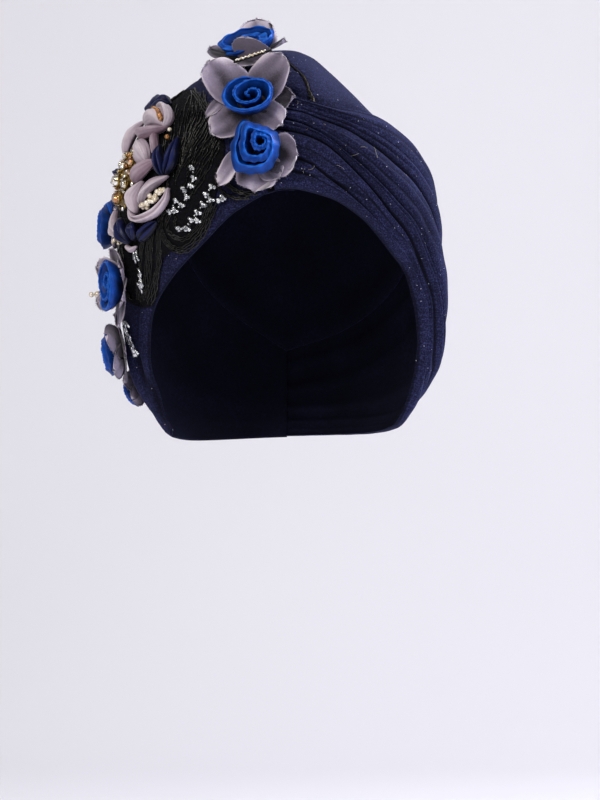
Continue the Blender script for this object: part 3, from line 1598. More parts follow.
    def cords(self) -> None:
        """All the cords: the flowing field and the bundles that outline the scallops."""
        rng = np.random.default_rng(7)
        lift = self.ground + self.wall + 0.6 * self.cord_radius
        paths = self.field_cords(rng, lift)
        for count, spacing, path in self.bundles:
            azimuths, heights = np.transpose(path)
            middle = float(np.mean(azimuths))
            places = through(FORM.flat(azimuths, heights, middle), 10 * len(path))
            travel = float(np.mean(FORM.travel_at(heights)))
            along = unit(np.gradient(places, axis=0))
            across = np.stack([-along[:, 1], along[:, 0]], axis=-1)
            for k in range(count):
                shift = (k - (count - 1) / 2) * spacing
                wave = 0.22 * np.sin(np.arange(len(places)) * rng.uniform(0.5, 0.9) + rng.uniform(0, 6))
                line = places + across * (shift + wave)[:, None]
                first, last = int(rng.uniform(0, 4)), len(places) - int(rng.uniform(0, 5))
                paths.append(self.laid(line[first:last], middle, travel, lift))
        self.growth.strand("lace_cords", paths, self.cord_radius, self.wardrobe.cord, "black_lace")

    def seed_beads(self) -> None:
        """Clusters of three silver seed beads with a fourth on top, one between clusters, and bugles."""
        rng = np.random.default_rng(17)
        points, sizes = [], []
        for string in self.strings:
            for azimuth, height in string:
                travel = float(FORM.travel_at(height))
                scale = FORM.scale(azimuth, travel)
                for k in range(4):
                    turn = 2 * math.pi * (k + rng.uniform(0, 0.6)) / 4
                    reach, up = (0.0, 2.6) if k == 3 else (1.4, 1.9)
                    beside = azimuth + reach * math.cos(turn) / scale
                    points.append(FORM.cloth(beside, travel + reach * math.sin(turn), up))
                    sizes.append(rng.uniform(1.05, 1.35))
            for (a0, h0), (a1, h1) in zip(string, string[1:]):
                points.append(FORM.seat((a0 + a1) / 2, (h0 + h1) / 2, 1.8))
                sizes.append(0.75)
        look = (0.12, 0.8, 5)
        self.growth.string("silver_seed_beads", points, sizes, look, self.wardrobe.silver_bead, "gilt_metal")
        spots, ways = [], []
        for azimuth, height, count in self.bugles:
            travel = float(FORM.travel_at(height))
            for _ in range(count):
                a, t = azimuth + rng.uniform(-1.3, 1.3), travel + rng.uniform(-2.2, 2.2)
                lean = 0.4 * math.sin(rng.uniform(-0.7, 0.7))
                ends = FORM.cloth(np.array([a - lean, a + lean]), np.array([t - 1, t + 1]), 1.9)
                out = FORM.normal(np.array(a), np.array(t)) * rng.uniform(0, 0.9)
                spots.append(ends.mean(axis=0) + out)
                ways.append(unit(ends[1] - ends[0]))
        rods = {"Radius": 0.00075, "Length": 0.0046, "Finish": self.wardrobe.silver_bead}
        mesh = point_mesh(np.array(spots), way=np.array(ways))
        dress(self.growth.run("silver_bugles", mesh, self.growth.tubes, rods), "gilt_metal")

    def build(self) -> None:
        net = dress(self.net(), "black_lace", "lace_applique")
        self.cords()
        self.seed_beads()


class Roll(Enum):
    """How a rose's ribbon is rolled."""

    SPIRAL = "spiral"
    FOLDED = "folded"
    OPEN = "open"


# Each roll from its middle out: turns so far, inner and outer radius as shares of the rose's
# radius, then inner and outer height as shares of its height
ROLLS = {
    Roll.SPIRAL: (
        (0.0, 0.02, 0.09, 0.74, 0.72), (0.4, 0.17, 0.27, 0.80, 0.79), (0.9, 0.37, 0.48, 0.84, 0.83),
        (1.4, 0.58, 0.69, 0.90, 0.88), (1.9, 0.80, 0.92, 0.94, 0.90), (2.3, 0.88, 1.0, 0.9, 0.84),
        (2.55, 0.8, 0.86, 0.3, 0.26),
    ),
    Roll.OPEN: (
        (0.0, 0.02, 0.18, 0.66, 0.62), (0.4, 0.14, 0.36, 0.72, 0.72), (0.9, 0.34, 0.62, 0.80, 0.82),
        (1.3, 0.56, 0.86, 0.90, 0.92), (1.8, 0.84, 0.97, 1.04, 0.96), (2.3, 0.92, 1.0, 1.04, 0.94),
        (2.55, 0.82, 0.88, 0.3, 0.26),
    ),
    Roll.FOLDED: (
        (0.0, 0.02, 0.10, 0.96, 0.94), (0.5, 0.10, 0.27, 1.0, 0.94), (1.0, 0.22, 0.43, 1.02, 0.91),
        (1.5, 0.36, 0.59, 1.0, 0.86), (2.0, 0.50, 0.75, 0.97, 0.78), (2.5, 0.64, 0.91, 0.92, 0.66),
        (2.9, 0.76, 1.02, 0.84, 0.54), (3.15, 0.74, 0.82, 0.3, 0.24),
    ),
}


@dataclass
class Petal:
    """One organza petal of a rose: sizes in mm, directions in degrees from up towards the right."""

    direction: float
    length: float
    width: float
    tip: float = 0.0
    cup: float = 2.6
    tilt: float = 0.0
    root: float = 4.0
    aside: float = 0.0
    shade: float = 0.0


@dataclass
class Rose(Maker):
    """A ribbon rose on a whorl of organza petals.

    Its seat is an azimuth and a height; radius, rise, lift and offsets are in mm, turns in degrees.
    A corner pulls the ribbon out in one direction by a share of its reach. The pleats are a count
    in each turn and a depth in mm.
    """

    number: int
    azimuth: float
    height: float
    lean: float
    radius: float
    rise: float
    lift: float
    roll: Roll
    petals: tuple[Petal, ...]
    turn: float = 0.0
    squeeze: float = 1.0
    shift: tuple[float, float] = (0.0, 0.0)
    offset: tuple[float, float] = (0.0, 0.0)
    tip_turn: float = 0.0
    corners: Pairs = ()
    pleats: tuple[float, float] = (19, 0.26)
    corner_width: float = 19
    stations_in_turn: int = 84
    ribbon_sides: int = 40
    cloth: float = 0.4
    fray_count: int = 90
    frame_axes: tuple[Array, Array, Array, Array] = field(init=False)
    threads: list[Array] = field(init=False, default_factory=list)

    def __post_init__(self) -> None:
        """Works out the seat, the way the rose faces, and its right and up."""
        azimuth, travel = np.array(self.azimuth, float), FORM.travel_at(self.height)
        normal = FORM.normal(azimuth, travel)
        up = unit(FORM.point(azimuth, travel - 1) - FORM.point(azimuth, travel + 1))
        angle = math.radians(self.lean)
        facing = normal * math.cos(angle) - up * math.sin(angle)
        right = unit(np.cross(up, facing))
        self.frame_axes = (FORM.point(azimuth, travel), facing, right, np.cross(facing, right))

    def bloom(self) -> Piece:
        """The rolled ribbon: a doubled band on edge that winds outwards and opens.

        Returns:
            The new object.
        """
        seat, facing, right, up = self.frame_axes
        clear = 0.35 * self.radius * math.tan(math.radians(self.lean))
        floor = seat + facing * (self.lift + 1.6 + clear)
        table = np.array(ROLLS[self.roll])
        stations = int(table[-1, 0] * self.stations_in_turn)
        turns = np.linspace(0, table[-1, 0], stations)
        r_in, r_out, h_in, h_out = (Line(list(zip(table[:, 0], table[:, k]))).at(turns) for k in range(1, 5))
        r_in, r_out = r_in * self.radius, r_out * self.radius
        rng = np.random.default_rng(40 + self.number)
        phase = rng.uniform(0, 6, 6)
        angle = 2 * math.pi * turns + math.radians(self.turn)
        flutter = 0.5 * np.sin(2.1 * angle + phase[0]) + 0.35 * np.sin(3.7 * angle + phase[1])
        h_in = (h_in + 0.035 * flutter) * self.rise
        h_out = (h_out + 0.045 * flutter) * self.rise
        fade = np.minimum(1, turns / table[-1, 0] * 1.4)
        r_in, r_out = r_in + 0.3 * flutter * fade, r_out + 0.45 * flutter * fade
        thick = r_out - r_in
        foot_in = r_in * 0.62
        foot_out = np.minimum(r_out * 0.66 + 0.4, foot_in + thick * 0.8 + 0.5)
        lip = np.minimum(0.9, 0.4 * thick)
        section = (
            (foot_in, 0 * h_in), (0.6 * foot_in + 0.4 * r_in, 0.45 * h_in), (r_in - 0.1, 0.85 * h_in),
            (r_in, h_in - 0.1), (r_in + 0.5 * lip, h_in + 0.45), (r_in + 1.2 * lip, h_in - 0.15),
            ((r_in + r_out) / 2 + 0.3 * lip, (h_in + h_out) / 2 - 0.3), (r_out - 0.12 * thick, h_out),
            (r_out + 0.02 * thick, h_out - 0.5), (0.4 * foot_out + 0.6 * r_out, 0.45 * h_out),
            (foot_out, 0 * h_in),
        )
        loops = np.stack([np.stack(pair, axis=-1) for pair in section], axis=1)
        tip = math.radians(self.tip_turn)
        s = np.linspace(0, 2 * math.pi, self.ribbon_sides, endpoint=False)
        rings, tones = [], []
        for k in range(stations):
            loop = through(loops[k], self.ribbon_sides, closed=True)
            dent = 0.16 * np.sin(5 * angle[k] + 2 * s + phase[2])
            dent = dent + 0.12 * np.sin(9 * angle[k] - 3 * s + phase[3])
            outer = ease(loop[:, 0], (r_in[k] + r_out[k]) / 2 - 0.4, r_out[k])
            pleat = math.sin(self.pleats[0] * angle[k] + phase[4])
            gather = self.pleats[1] * outer * (1 - 0.6 * loop[:, 1] / max(h_out[k], 1)) * pleat
            reach = loop[:, 0] + (dent + gather) * min(1.0, thick[k])
            for direction, amount in self.corners:
                away = (math.degrees(angle[k]) - direction + 180) % 360 - 180
                reach = reach * (1 + amount * fade[k] * math.exp(-((away / self.corner_width) ** 2)))
            x, y = reach * math.sin(angle[k]), reach * math.cos(angle[k]) * self.squeeze
            x, y = x * math.cos(tip) - y * math.sin(tip), x * math.sin(tip) + y * math.cos(tip)
            x = x + self.offset[0] + self.shift[0] * (1 - fade[k])
            y = y + self.offset[1] + self.shift[1] * (1 - fade[k])
            ruffle = 0.22 * outer * math.sin(13 * angle[k] + phase[5])
            ruffle = ruffle + 0.6 * self.pleats[1] * pleat * (1 - 0.5 * outer)
            z = np.maximum(loop[:, 1] + ruffle * np.clip(loop[:, 1] / 2, 0, 1), 0.0)
            rings.append(floor + np.outer(x, right) + np.outer(y, up) + np.outer(z, facing))
            tone = 0.05 + 0.55 * np.clip(z / max(h_in[k], 1), 0, 1) ** 2.5
            tones.append(tone + 0.3 * ease(z, h_in[k] - 0.3, h_in[k] + 0.3) + 0.2 * dent + 0.3 * gather)
        return add_tube(f"rose_{self.number}_ribbon", np.array(rings), self.wardrobe.blue, np.array(tones))

    def frays(self, rim: Array, middle: Array, rng: np.random.Generator) -> list[Array]:
        """Short loose threads along a petal's raw rim.

        Args:
            rim: the rim's points in order.
            middle: the petal's middle, which the threads point away from.
            rng: source of their unevenness.

        Returns:
            One short path for each thread.
        """
        paths = []
        for _ in range(self.fray_count):
            k = int(rng.integers(1, len(rim) - 1))
            start = rim[k] + (rim[k + 1] - rim[k]) * rng.uniform()
            out = unit(unit(start - middle) + rng.normal(0, 0.55, 3))
            bend = rng.normal(0, 0.16, 3)
            length = rng.uniform(0.25, 0.9)
            end = start + length * out + bend
            paths.append(np.array([start - 0.3 * out, start + 0.5 * length * out, end]))
        return paths

    def petal(self, petal: Petal, seed: int) -> Piece:
        """One petal, laid on what is under it, cupped, with a raw waved rim.

        Args:
            petal: the petal's sizes.
            seed: number that fixes the random draws.

        Returns:
            The new object.
        """
        seat, facing, right, up = self.frame_axes
        rng = np.random.default_rng(seed)
        phase = rng.uniform(0, 6, 6)
        v = 0.998 * np.sin(np.linspace(0, math.pi / 2, 26))[:, None]
        u = np.linspace(-1, 1, 27)[None, :]
        belly = 0.5
        reach = np.where(v > belly, (v - belly) / (1 - belly), (belly - v) / (belly + 0.1))
        half = petal.width / 2 * np.sqrt(np.maximum(1 - reach**2.5, 0))
        half = half * (1 + 0.03 * np.sin(11 * v + phase[5]))
        share = 2 * u * half / petal.width
        fray = 1 + 0.014 * np.sin(4 * share + phase[0]) + 0.008 * np.sin(15 * share + phase[1])
        side = petal.aside + u * half
        along = petal.root + (petal.length - petal.root) * (v * fray - 0.05 * v * u**2)
        tall = petal.tip * v**1.3
        angle = math.radians(petal.direction)
        way = right * math.sin(angle) + up * math.cos(angle)
        cross = right * math.cos(angle) - up * math.sin(angle)
        spread = seat + along[..., None] * way + side[..., None] * cross
        ground = FORM.drop(spread, facing)
        wave = 0.45 * np.sin(3.2 * u + phase[3]) * v**2 + 0.2 * np.sin(8 * u + phase[4]) * v**3
        pleat = 0.14 * np.sin(16 * u + phase[5]) * (1 - v) ** 1.5
        edge_dip = 0.25 * np.clip((np.abs(u) - 0.8) / 0.2, 0, 1) ** 2
        curl = petal.cup * (0.5 * v**3 + 0.6 * u**2 * (0.3 + 0.7 * v) - edge_dip)
        depth = -rng.uniform(0.2, 0.8)
        valley = depth * np.exp(-(((u - rng.uniform(-0.3, 0.3)) / 0.14) ** 2)) * v
        rise = self.lift + 0.3 + tall + curl + valley + petal.tilt * u * v + wave + pleat
        outer = ground + facing * rise[..., None]
        inner = outer - facing * self.cloth
        rim = np.maximum(ease(np.abs(u), 0.84, 1.0), ease(v, 0.94, 0.99))
        soft = 0.16 * np.sin(2.6 * u + 1.4 * v + phase[1]) + 0.1 * np.sin(6 * u - 3 * v + phase[2])
        tone = -0.02 - petal.shade + 0.66 * v**1.5 + 0.12 * u**2 + 0.26 * rim
        tone = np.clip((tone + soft * np.minimum(1, 1.6 * v)) * np.ones_like(rise), 0, 1)
        edge = np.concatenate([outer[6:, 0], outer[-1, 1:-1], outer[6:, -1][::-1]])
        self.threads += self.frays(edge, outer[12, 13], rng)
        return add_wall(f"petal_{seed}", outer, inner, self.wardrobe.organza, depth=tone)

    def build(self) -> None:
        bloom = dress(self.bloom(), "blue_satin", f"rose_{self.number}_bloom")
        leaves = [self.petal(p, 100 * self.number + k) for k, p in enumerate(self.petals)]
        whorl = joined(f"rose_{self.number}_organza", leaves)
        dress(whorl, "grey_lavender_cloth", f"rose_{self.number}_petals")
        name = f"rose_{self.number}_frays"
        self.growth.strand(name, self.threads, 0.08, self.wardrobe.fray, "grey_lavender_cloth", 3)


ROSES = (
    Rose(1, -32, 33, 15, 19.5, 8.2, 2.8, Roll.OPEN, (
        Petal(-9, 24, 25, 20.0, 1.0, 0, 4.0, 3.0, -0.25), Petal(78, 26, 17, 9.0, shade=0.35),
        Petal(140, 21, 17, 1.0), Petal(184, 10, 26, 18.0, 1.0, 0, 8.0, -11.5, -0.28),
        Petal(-86, 26, 18, 10.0, shade=0.4), Petal(-135, 23, 17)),
        turn=40, squeeze=0.6, offset=(1.5, 1.8), pleats=(9, 0.75)),
    Rose(2, -15, 1.5, 0, 17.0, 11.5, 3.6, Roll.SPIRAL, (
        Petal(-51, 38, 25, 17.0, 2.0, shade=-0.05), Petal(27, 35, 26, 15.0, 2.0),
        Petal(74, 27, 20, 2.0, 3.0, shade=0.6), Petal(120, 27, 21, 3.0, 3.4),
        Petal(-136, 29, 22, 1.0, 3.0), Petal(-155, 20, 8.5, 3.0, 1.0, 0.6, -4.0, 17.5)),
        turn=200, squeeze=0.82, offset=(2.8, 0.8), tip_turn=9),
    Rose(3, -9, -28, 0, 15.0, 12.5, 3.6, Roll.FOLDED, (
        Petal(-155, 27, 10.5, 3.0, 0.6, 0.8, 4.0, 13.0, -0.3), Petal(184, 22.5, 25, 1.0, 3.4),
        Petal(90, 23.5, 26, 3.0, 3.0, shade=0.1), Petal(138, 19, 16, 1.0)),
        turn=-60, shift=(4.6, 3.8), offset=(0.0, 2.2),
        corners=((-42, 0.42), (140, 0.06), (-140, 0.14), (48, 0.08)),
        squeeze=1.1, tip_turn=-8, pleats=(13, 0.5)),
    Rose(4, -99, -64, 0, 16.0, 11.5, 3.0, Roll.FOLDED, (
        Petal(-150, 22, 18), Petal(-80, 23, 20), Petal(-10, 20, 18), Petal(60, 17, 15),
        Petal(125, 20, 16))),
    Rose(5, -73, -101, 0, 17.0, 9.5, 3.2, Roll.SPIRAL, (
        Petal(-55, 20, 20, 10.0), Petal(-10, 22, 20, 3.0), Petal(62, 18, 20, 4.0, shade=0.1),
        Petal(125, 19, 20, 3.0, shade=0.1), Petal(-178, 26, 21, 1.0, 1.5), Petal(-122, 20, 20, 10.0)),
        turn=90),
    Rose(6, -91, -141, 0, 15.0, 11.0, 1.0, Roll.FOLDED, (
        Petal(-85, 20, 18), Petal(0, 24, 20, 2.0, 1.5), Petal(60, 22, 23, 8.0, 3.0, shade=0.3),
        Petal(120, 22, 21, 6.0, 3.0, shade=0.3), Petal(92, 20, 20, 0.0, 0.2, shade=1.2),
        Petal(-165, 20, 18, 1.0, shade=0.2))),
    Rose(7, -109, -163, 0, 11.0, 8.0, 1.0, Roll.FOLDED, (
        Petal(0, 14, 13), Petal(66, 16, 15, 4.0, shade=0.3), Petal(120, 15, 14, 2.0, shade=0.3),
        Petal(-144, 15, 13), Petal(-72, 15, 13))),
)


class Tone(Enum):
    """The satin that a petal is folded from, by its name in the wardrobe."""

    LIGHT = "light"
    MAUVE = "mauve"
    NAVY = "navy"


@dataclass
class FoldedPetal(Maker):
    """One folded satin petal: its centreline's (azimuth, height) points and its section, in mm.

    The groove is its share of the rise, and node is the number of the node that it stands for.
    """

    name: str
    path: Pairs
    half_width: float
    rise: float
    tone: Tone
    groove: float = 0.5
    off_centre: float = 0.0
    node: int | None = None
    base: float = 2.6
    blunt: float = 0.68
    stations: int = 34
    sides: int = 30

    def section(self) -> Array:
        """The petal's section: two lips with a hollow between, or a plain ridge.

        Returns:
            The closed section as shares of the half width and of the rise.
        """
        c, low = self.off_centre, 1 - self.groove
        lips = ((0.78, 0.92), (0.42 + c / 2, 0.98), (c, low), (-0.42 + c / 2, 0.98), (-0.78, 0.92))
        ridge = ((0.8, 0.56), (0.4 + c / 2, 0.84), (c, 1.0), (-0.4 + c / 2, 0.84), (-0.8, 0.56))
        top = lips if self.groove >= 0.3 else ridge
        foot = ((-0.55, 0.0), (0.0, -0.02), (0.55, 0.0), (1.0, 0.34))
        return through((*foot, *top, (-1.0, 0.34)), self.sides, closed=True)

    def build(self) -> Piece:
        """Makes the petal: a pod of doubled satin with a soft hollow between its lips.

        Returns:
            The new object.
        """
        azimuths, heights = np.transpose(self.path)
        middle = float(np.mean(azimuths))
        flat = through(FORM.flat(azimuths, heights, middle), self.stations)
        travel = float(np.mean(flat[:, 1]))
        along = unit(np.gradient(flat, axis=0))
        across = np.stack([-along[:, 1], along[:, 0]], axis=-1)
        loop = self.section()
        rng = np.random.default_rng(sum(map(ord, self.name)))
        phase = rng.uniform(0, 6, 3)
        turn = np.linspace(0, 2 * math.pi, self.sides, endpoint=False)
        rings, tones = [], []
        for k in range(self.stations):
            s = (k + 0.6) / (self.stations + 0.2)
            swell = math.sin(math.pi * s**0.9) ** self.blunt
            fold = 1 + 0.05 * np.sin(3 * turn + 4 * s + phase[0])
            fold = fold + 0.035 * np.sin(7 * turn - 9 * s + phase[1])
            fold = fold + 0.02 * np.sin(12 * turn + 3 * s + phase[2])
            w = loop[:, 0] * self.half_width * swell * fold
            h = np.maximum(loop[:, 1], 0) * self.rise * (0.25 + 0.75 * swell) * fold
            h = h + 0.25 * np.sin(9 * s + phase[2]) * (loop[:, 1] > 0.3)
            rings.append(FORM.unflat(flat[k] + w[:, None] * across[k], middle, travel, self.base + h))
            streaks = 0.07 * np.sin(15 * turn + 2 * s + phase[0])
            streaks = streaks + 0.05 * np.sin(23 * turn - 3 * s + phase[1])
            lit = (0.72 + 0.32 * math.sin(math.pi * s)) * loop[:, 1]
            tones.append(np.clip(lit - 0.12 + 1.3 * streaks, 0, 1))
        satin = getattr(self.wardrobe, self.tone.value)
        made = add_tube(self.name, np.array(rings), satin, np.array(tones))
        nodes = [f"satin_petal_{self.node}"] if self.node else []
        dress(made, "navy_satin" if self.tone is Tone.NAVY else "light_satin", *nodes)
        return made


# Name, centreline, half width, rise, satin, groove, its shift, node
SATIN_PETALS = tuple(FoldedPetal(*row) for row in (
    ("satin_bud", ((-71, -7), (-61, -4), (-50.5, -10)), 6.0, 8.5, Tone.LIGHT, 0.06, 0, 1),
    ("satin_bud_lip", ((-68, 1), (-57.5, 0.5), (-50.4, -5.5), (-51.6, -11.5)), 2.0, 8.5, Tone.LIGHT, 0.1),
    ("satin_bud_front", ((-71, -14), (-61, -13), (-50, -10.5)), 4.2, 8.5, Tone.MAUVE, 0.12),
    ("satin_left_leaf", ((-83, -24), (-84.5, -14), (-83.5, -4)), 6.8, 7.0, Tone.LIGHT, 0.08, 0, 2),
    ("satin_inner_leaf", ((-55.5, -30.5), (-61, -24), (-69, -17)), 7.0, 7.6, Tone.LIGHT, 0.14, 0.4, 3),
    ("satin_stem_fold", ((-51.5, -27), (-53.5, -20), (-57, -12)), 2.6, 6.5, Tone.MAUVE, 0.15),
    ("satin_v_upper", ((-62, -42), (-57.5, -35.5), (-50.5, -29.5)), 5.0, 8.0, Tone.MAUVE, 0.2, -0.55, 4),
    ("satin_v_leaf", ((-58.6, -60), (-60.5, -51), (-57, -41)), 4.8, 8.4, Tone.LIGHT, 0.08),
    ("satin_v_lower", ((-56.6, -55), (-52.8, -46), (-43.4, -39)), 3.9, 7.2, Tone.LIGHT, 0.2, 0.5, 5),
    ("satin_cup_rim", ((-64.5, -55), (-58, -63.4), (-49, -61), (-43.6, -53.5), (-42.6, -46)), 2.4, 6.2,
     Tone.LIGHT, 0.3, 0, 6),
    ("navy_v_left", ((-45.6, -39), (-48.4, -30), (-50.6, -20.6)), 3.4, 6.5, Tone.NAVY, 0.5, 0, 7),
    ("navy_v_right", ((-44.2, -38), (-42, -29.5), (-42, -16.5)), 3.6, 7.0, Tone.NAVY, 0.5),
    ("navy_behind_stones", ((-83, -38), (-88, -36.5), (-94, -34)), 5.4, 6.6, Tone.NAVY, 0.4, 0, 8),
    ("navy_low_left", ((-72, -62), (-69.2, -69.5), (-64.1, -77.5)), 5.2, 6.4, Tone.NAVY, 0.4, 0, 10),
    ("navy_low_middle", ((-61.5, -64.5), (-60.6, -70), (-61.6, -76)), 3.8, 5.4, Tone.NAVY, 0.45),
    ("navy_low_right", ((-58, -76.5), (-53.6, -71.4), (-48.2, -65.5)), 3.6, 5.2, Tone.NAVY, 0.5, 0, 11),
    ("satin_hook", ((-84, -56.5), (-83, -64.5), (-77, -70), (-67.5, -72.6)), 3.6, 6.2,
     Tone.LIGHT, 0.3, 0, 9),
    ("satin_small_hook", ((-67, -78), (-64, -81), (-60.5, -79.4)), 1.8, 3.6, Tone.LIGHT, 0.2),
    ("navy_top", ((-79.5, 0), (-85, 5), (-91, 9)), 5.2, 7.0, Tone.NAVY, 0.4, 0, 12),
    ("navy_under_bud", ((-74, 1), (-67, 4.5), (-59.5, 4)), 3.6, 7.0, Tone.NAVY, 0.3),
))


@dataclass
class Jewels(Maker):
    """Stones, their cups, and the beads of the satin flower and the roses: sizes in mm."""

    azimuth: float = -70.5
    height: float = -39
    half_width: float = 15
    half_height: float = 17.5
    base: float = 2.6
    rim: float = 0.8
    rise: float = 4.0
    # Azimuth, height and radius of each stone, in the order of the nodes
    stones: tuple[tuple[float, float, float], ...] = (
        (-72, -26, 2.5), (-78, -30, 2.5), (-64.5, -30, 2.8), (-69.5, -32.5, 2.4), (-63, -36.5, 2.6),
        (-65.5, -43, 2.8), (-71.5, -40.5, 4.0), (-77.5, -38.5, 2.7), (-70, -50.5, 4.0), (-64, -49.5, 2.2),
        (-76, -48.5, 2.6),
    )
    amber_stones: tuple[int, ...] = (3, 5, 9)
    stack_azimuth: float = -95
    stack_height: float = -106
    # Heights of the stacked beads above the cloth, and their radii
    stack_levels: tuple[float, ...] = (4.0, 7.4, 10.8, 14.9, 18.8)
    stack_radii: tuple[float, ...] = (1.7, 1.7, 1.7, 2.3, 1.7)
    # Azimuth, height and count of the small groups of pearls
    pearl_groups: tuple[tuple[float, float, int], ...] = (
        (-76, -73.5, 5), (-72.5, -75.5, 4), (-84, -68.5, 2), (-79, -75, 3),
    )
    filler_count: int = 150
    cup_sides: int = 32

    def cup(self, azimuth: float, height: float, radius: float, gilt: Finish) -> Piece:
        """A stamped cup round one stone: a flared band with a rolled lip and four claws.

        Args:
            azimuth: azimuth of the stone, degrees.
            height: height of the stone, mm.
            radius: the stone's radius, mm.
            gilt: the cup's finish.

        Returns:
            The new object.
        """
        scale = FORM.scale(self.azimuth, float(FORM.travel_at(self.height)))
        aside = (azimuth - self.azimuth) * scale / self.half_width
        out = math.hypot(aside, (height - self.height) / self.half_height)
        top = self.base + self.rim + self.rise * (1 - out**2)
        slope = 2 * self.rise * out / self.half_width
        place, travel = np.array(azimuth, float), FORM.travel_at(height)
        normal = FORM.normal(place, travel)
        right = unit(np.cross(np.array([0.0, 0.0, 1.0]), normal))
        up = np.cross(normal, right)
        floor = FORM.cloth(place, travel, top + 0.35 + slope * radius * 0.7)
        girdle = radius * 1.15 * 0.45
        turns = np.linspace(0, 2 * math.pi, self.cup_sides, endpoint=False)
        claw = np.clip(np.cos(4 * turns) * 3 - 2, 0, 1)
        band = (
            (0.74, -0.3, 0.0), (0.96, 0.0, 0.0), (1.08, 0.55 * girdle, 0.0), (1.12, girdle, 0.0),
            (1.09, 1.05 * girdle, 0.5), (1.03, 1.0 * girdle, 0.42), (1.02, 0.5 * girdle, 0.0),
            (0.78, -0.2, 0.0),
        )
        rings = []
        for share, level, rise in band:
            grip = claw * rise * radius
            reach = radius * share + 0.06 - claw * (0.16 * radius if rise else 0)
            rings.append(
                floor + np.outer(reach * np.sin(turns), right) + np.outer(reach * np.cos(turns), up)
                + np.outer(level + grip, normal)
            )
        ring = np.array(rings)
        faces: list[tuple[int, ...]] = []
        for r in range(len(ring)):
            faces += quads(r * self.cup_sides, (r + 1) % len(ring) * self.cup_sides, self.cup_sides, True)
        return add_piece("cup", ring.reshape(-1, 3), faces, gilt)

    def pearls(self) -> None:
        """The nest of pearl beads, the amber beads in the bud and the small ones beside the petals."""
        rng = np.random.default_rng(31)
        nest = through([(-53.2, -57.8), (-50, -54.6), (-46.8, -51), (-44.6, -47)], 7)
        # Azimuth, height, count, then spread up and sideways, least and most offset and radius
        groups = [(a, h, 3, 2.2, 1.1, (4.6, 7.6), (1.4, 1.75)) for a, h in nest]
        groups += [(a, h, n, 1.6, 1.0, (3.6, 6.4), (1.05, 1.3)) for a, h, n in self.pearl_groups]
        pearls, sizes = [], []
        for a, h, n, up, aside, offsets, radii in groups:
            for _ in range(n):
                height = h + rng.uniform(-up, up)
                pearls.append(FORM.seat(a + rng.uniform(-aside, aside), height, rng.uniform(*offsets)))
                sizes.append(rng.uniform(*radii))
        pearls.append(FORM.seat(-47.3, -12.5, 5.4))
        sizes.append(1.35)
        look = (0.05, 1.0, 9)
        self.growth.string("cream_pearls", pearls, sizes, look, self.wardrobe.pearl_bead, "gilt_metal")
        row = through([(-63, -1.5), (-57.5, -3.4), (-52.6, -7.5)], 11)
        amber = [*FORM.seat(row[:, 0], row[:, 1], 8.6), FORM.seat(-47.2, -16.6, 5.4)]
        sizes, look = np.full(len(amber), 1.7), (0.12, 0.9, 4)
        self.growth.string("amber_beads", amber, sizes, look, self.wardrobe.amber_bead, "amber_crystal")

    def filler(self) -> None:
        """Small clear, amber and gilt beads packed between the stones."""
        rng = np.random.default_rng(13)
        scale = FORM.scale(self.azimuth, float(FORM.travel_at(self.height)))
        sorts: tuple[list[Array], ...] = ([], [], [])
        for k in range(self.filler_count):
            turn, out = GOLDEN_TURN * k, 1.02 * math.sqrt((k + 0.5) / self.filler_count)
            azimuth = self.azimuth + out * math.cos(turn) * self.half_width / scale
            height = self.height + out * math.sin(turn) * self.half_height
            gaps = [math.hypot((azimuth - a) * scale, height - h) - r * 1.12 for a, h, r in self.stones]
            if min(gaps) < 0.9:
                continue
            top = self.base + self.rim + self.rise * (1 - min(out, 1) ** 2)
            spot = FORM.seat(azimuth, height, top + rng.uniform(0.5, 1.5))
            sorts[int(rng.choice(3, p=(0.45, 0.3, 0.25)))].append(spot)
        finishes = (
            ("clear", self.wardrobe.clear, 1.35, "gilt_metal"),
            ("amber", self.wardrobe.amber_bead, 1.35, "amber_crystal"),
            ("gilt", self.wardrobe.gilt, 1.1, "gilt_metal"),
        )
        for spots, (name, finish, radius, slot) in zip(sorts, finishes):
            sizes = np.full(len(spots), radius)
            self.growth.string(f"filler_beads_{name}", spots, sizes, (0.2, 0.9, 6), finish, slot)

    def chain(self) -> None:
        """Tiny cream beads on a black braid between the two upper roses."""
        path = through([(-24.5, 17.6), (-19.5, 19.4), (-14.5, 21.2), (-10.5, 22.6), (-7.5, 23.4)], 40)
        azimuth, height = path.T
        braid = [
            FORM.seat(azimuth + 0.5 * math.sin(k), height, 15.5 + 0.4 * math.cos(k)) for k in range(0, 6, 2)
        ]
        self.growth.strand("rose_braid", braid, 0.6, self.wardrobe.black_thread, "black_lace", 6)
        points = FORM.seat(azimuth[2:30], height[2:30], 16.5 + 0.4 * np.sin(np.arange(28) * 1.7))
        sizes, look = np.full(28, 0.62), (0.2, 0.8, 8)
        self.growth.string("rose_chain_beads", points, sizes, look, self.wardrobe.pearl_bead, "gilt_metal")

    def stack(self) -> None:
        """Cream beads threaded on one stitch that stands out from the cloth."""
        place, travel = np.array(self.stack_azimuth, float), FORM.travel_at(self.stack_height)
        normal = FORM.normal(place, travel)
        floor = FORM.cloth(place, travel, 0.3)
        points = floor + np.array(self.stack_levels)[:, None] * normal
        self.growth.string(
            "bead_stack_beads", points, self.stack_radii, (0.02, 0.95, 2), self.wardrobe.pearl_bead,
            "gilt_metal", "bead_stack",
        )
        stitch = np.array([floor - normal * 0.2, floor + normal * 10, floor + normal * 20])
        self.growth.strand("bead_stack_stitch", [stitch], 0.4, self.wardrobe.gold_thread, "gilt_metal", 6)

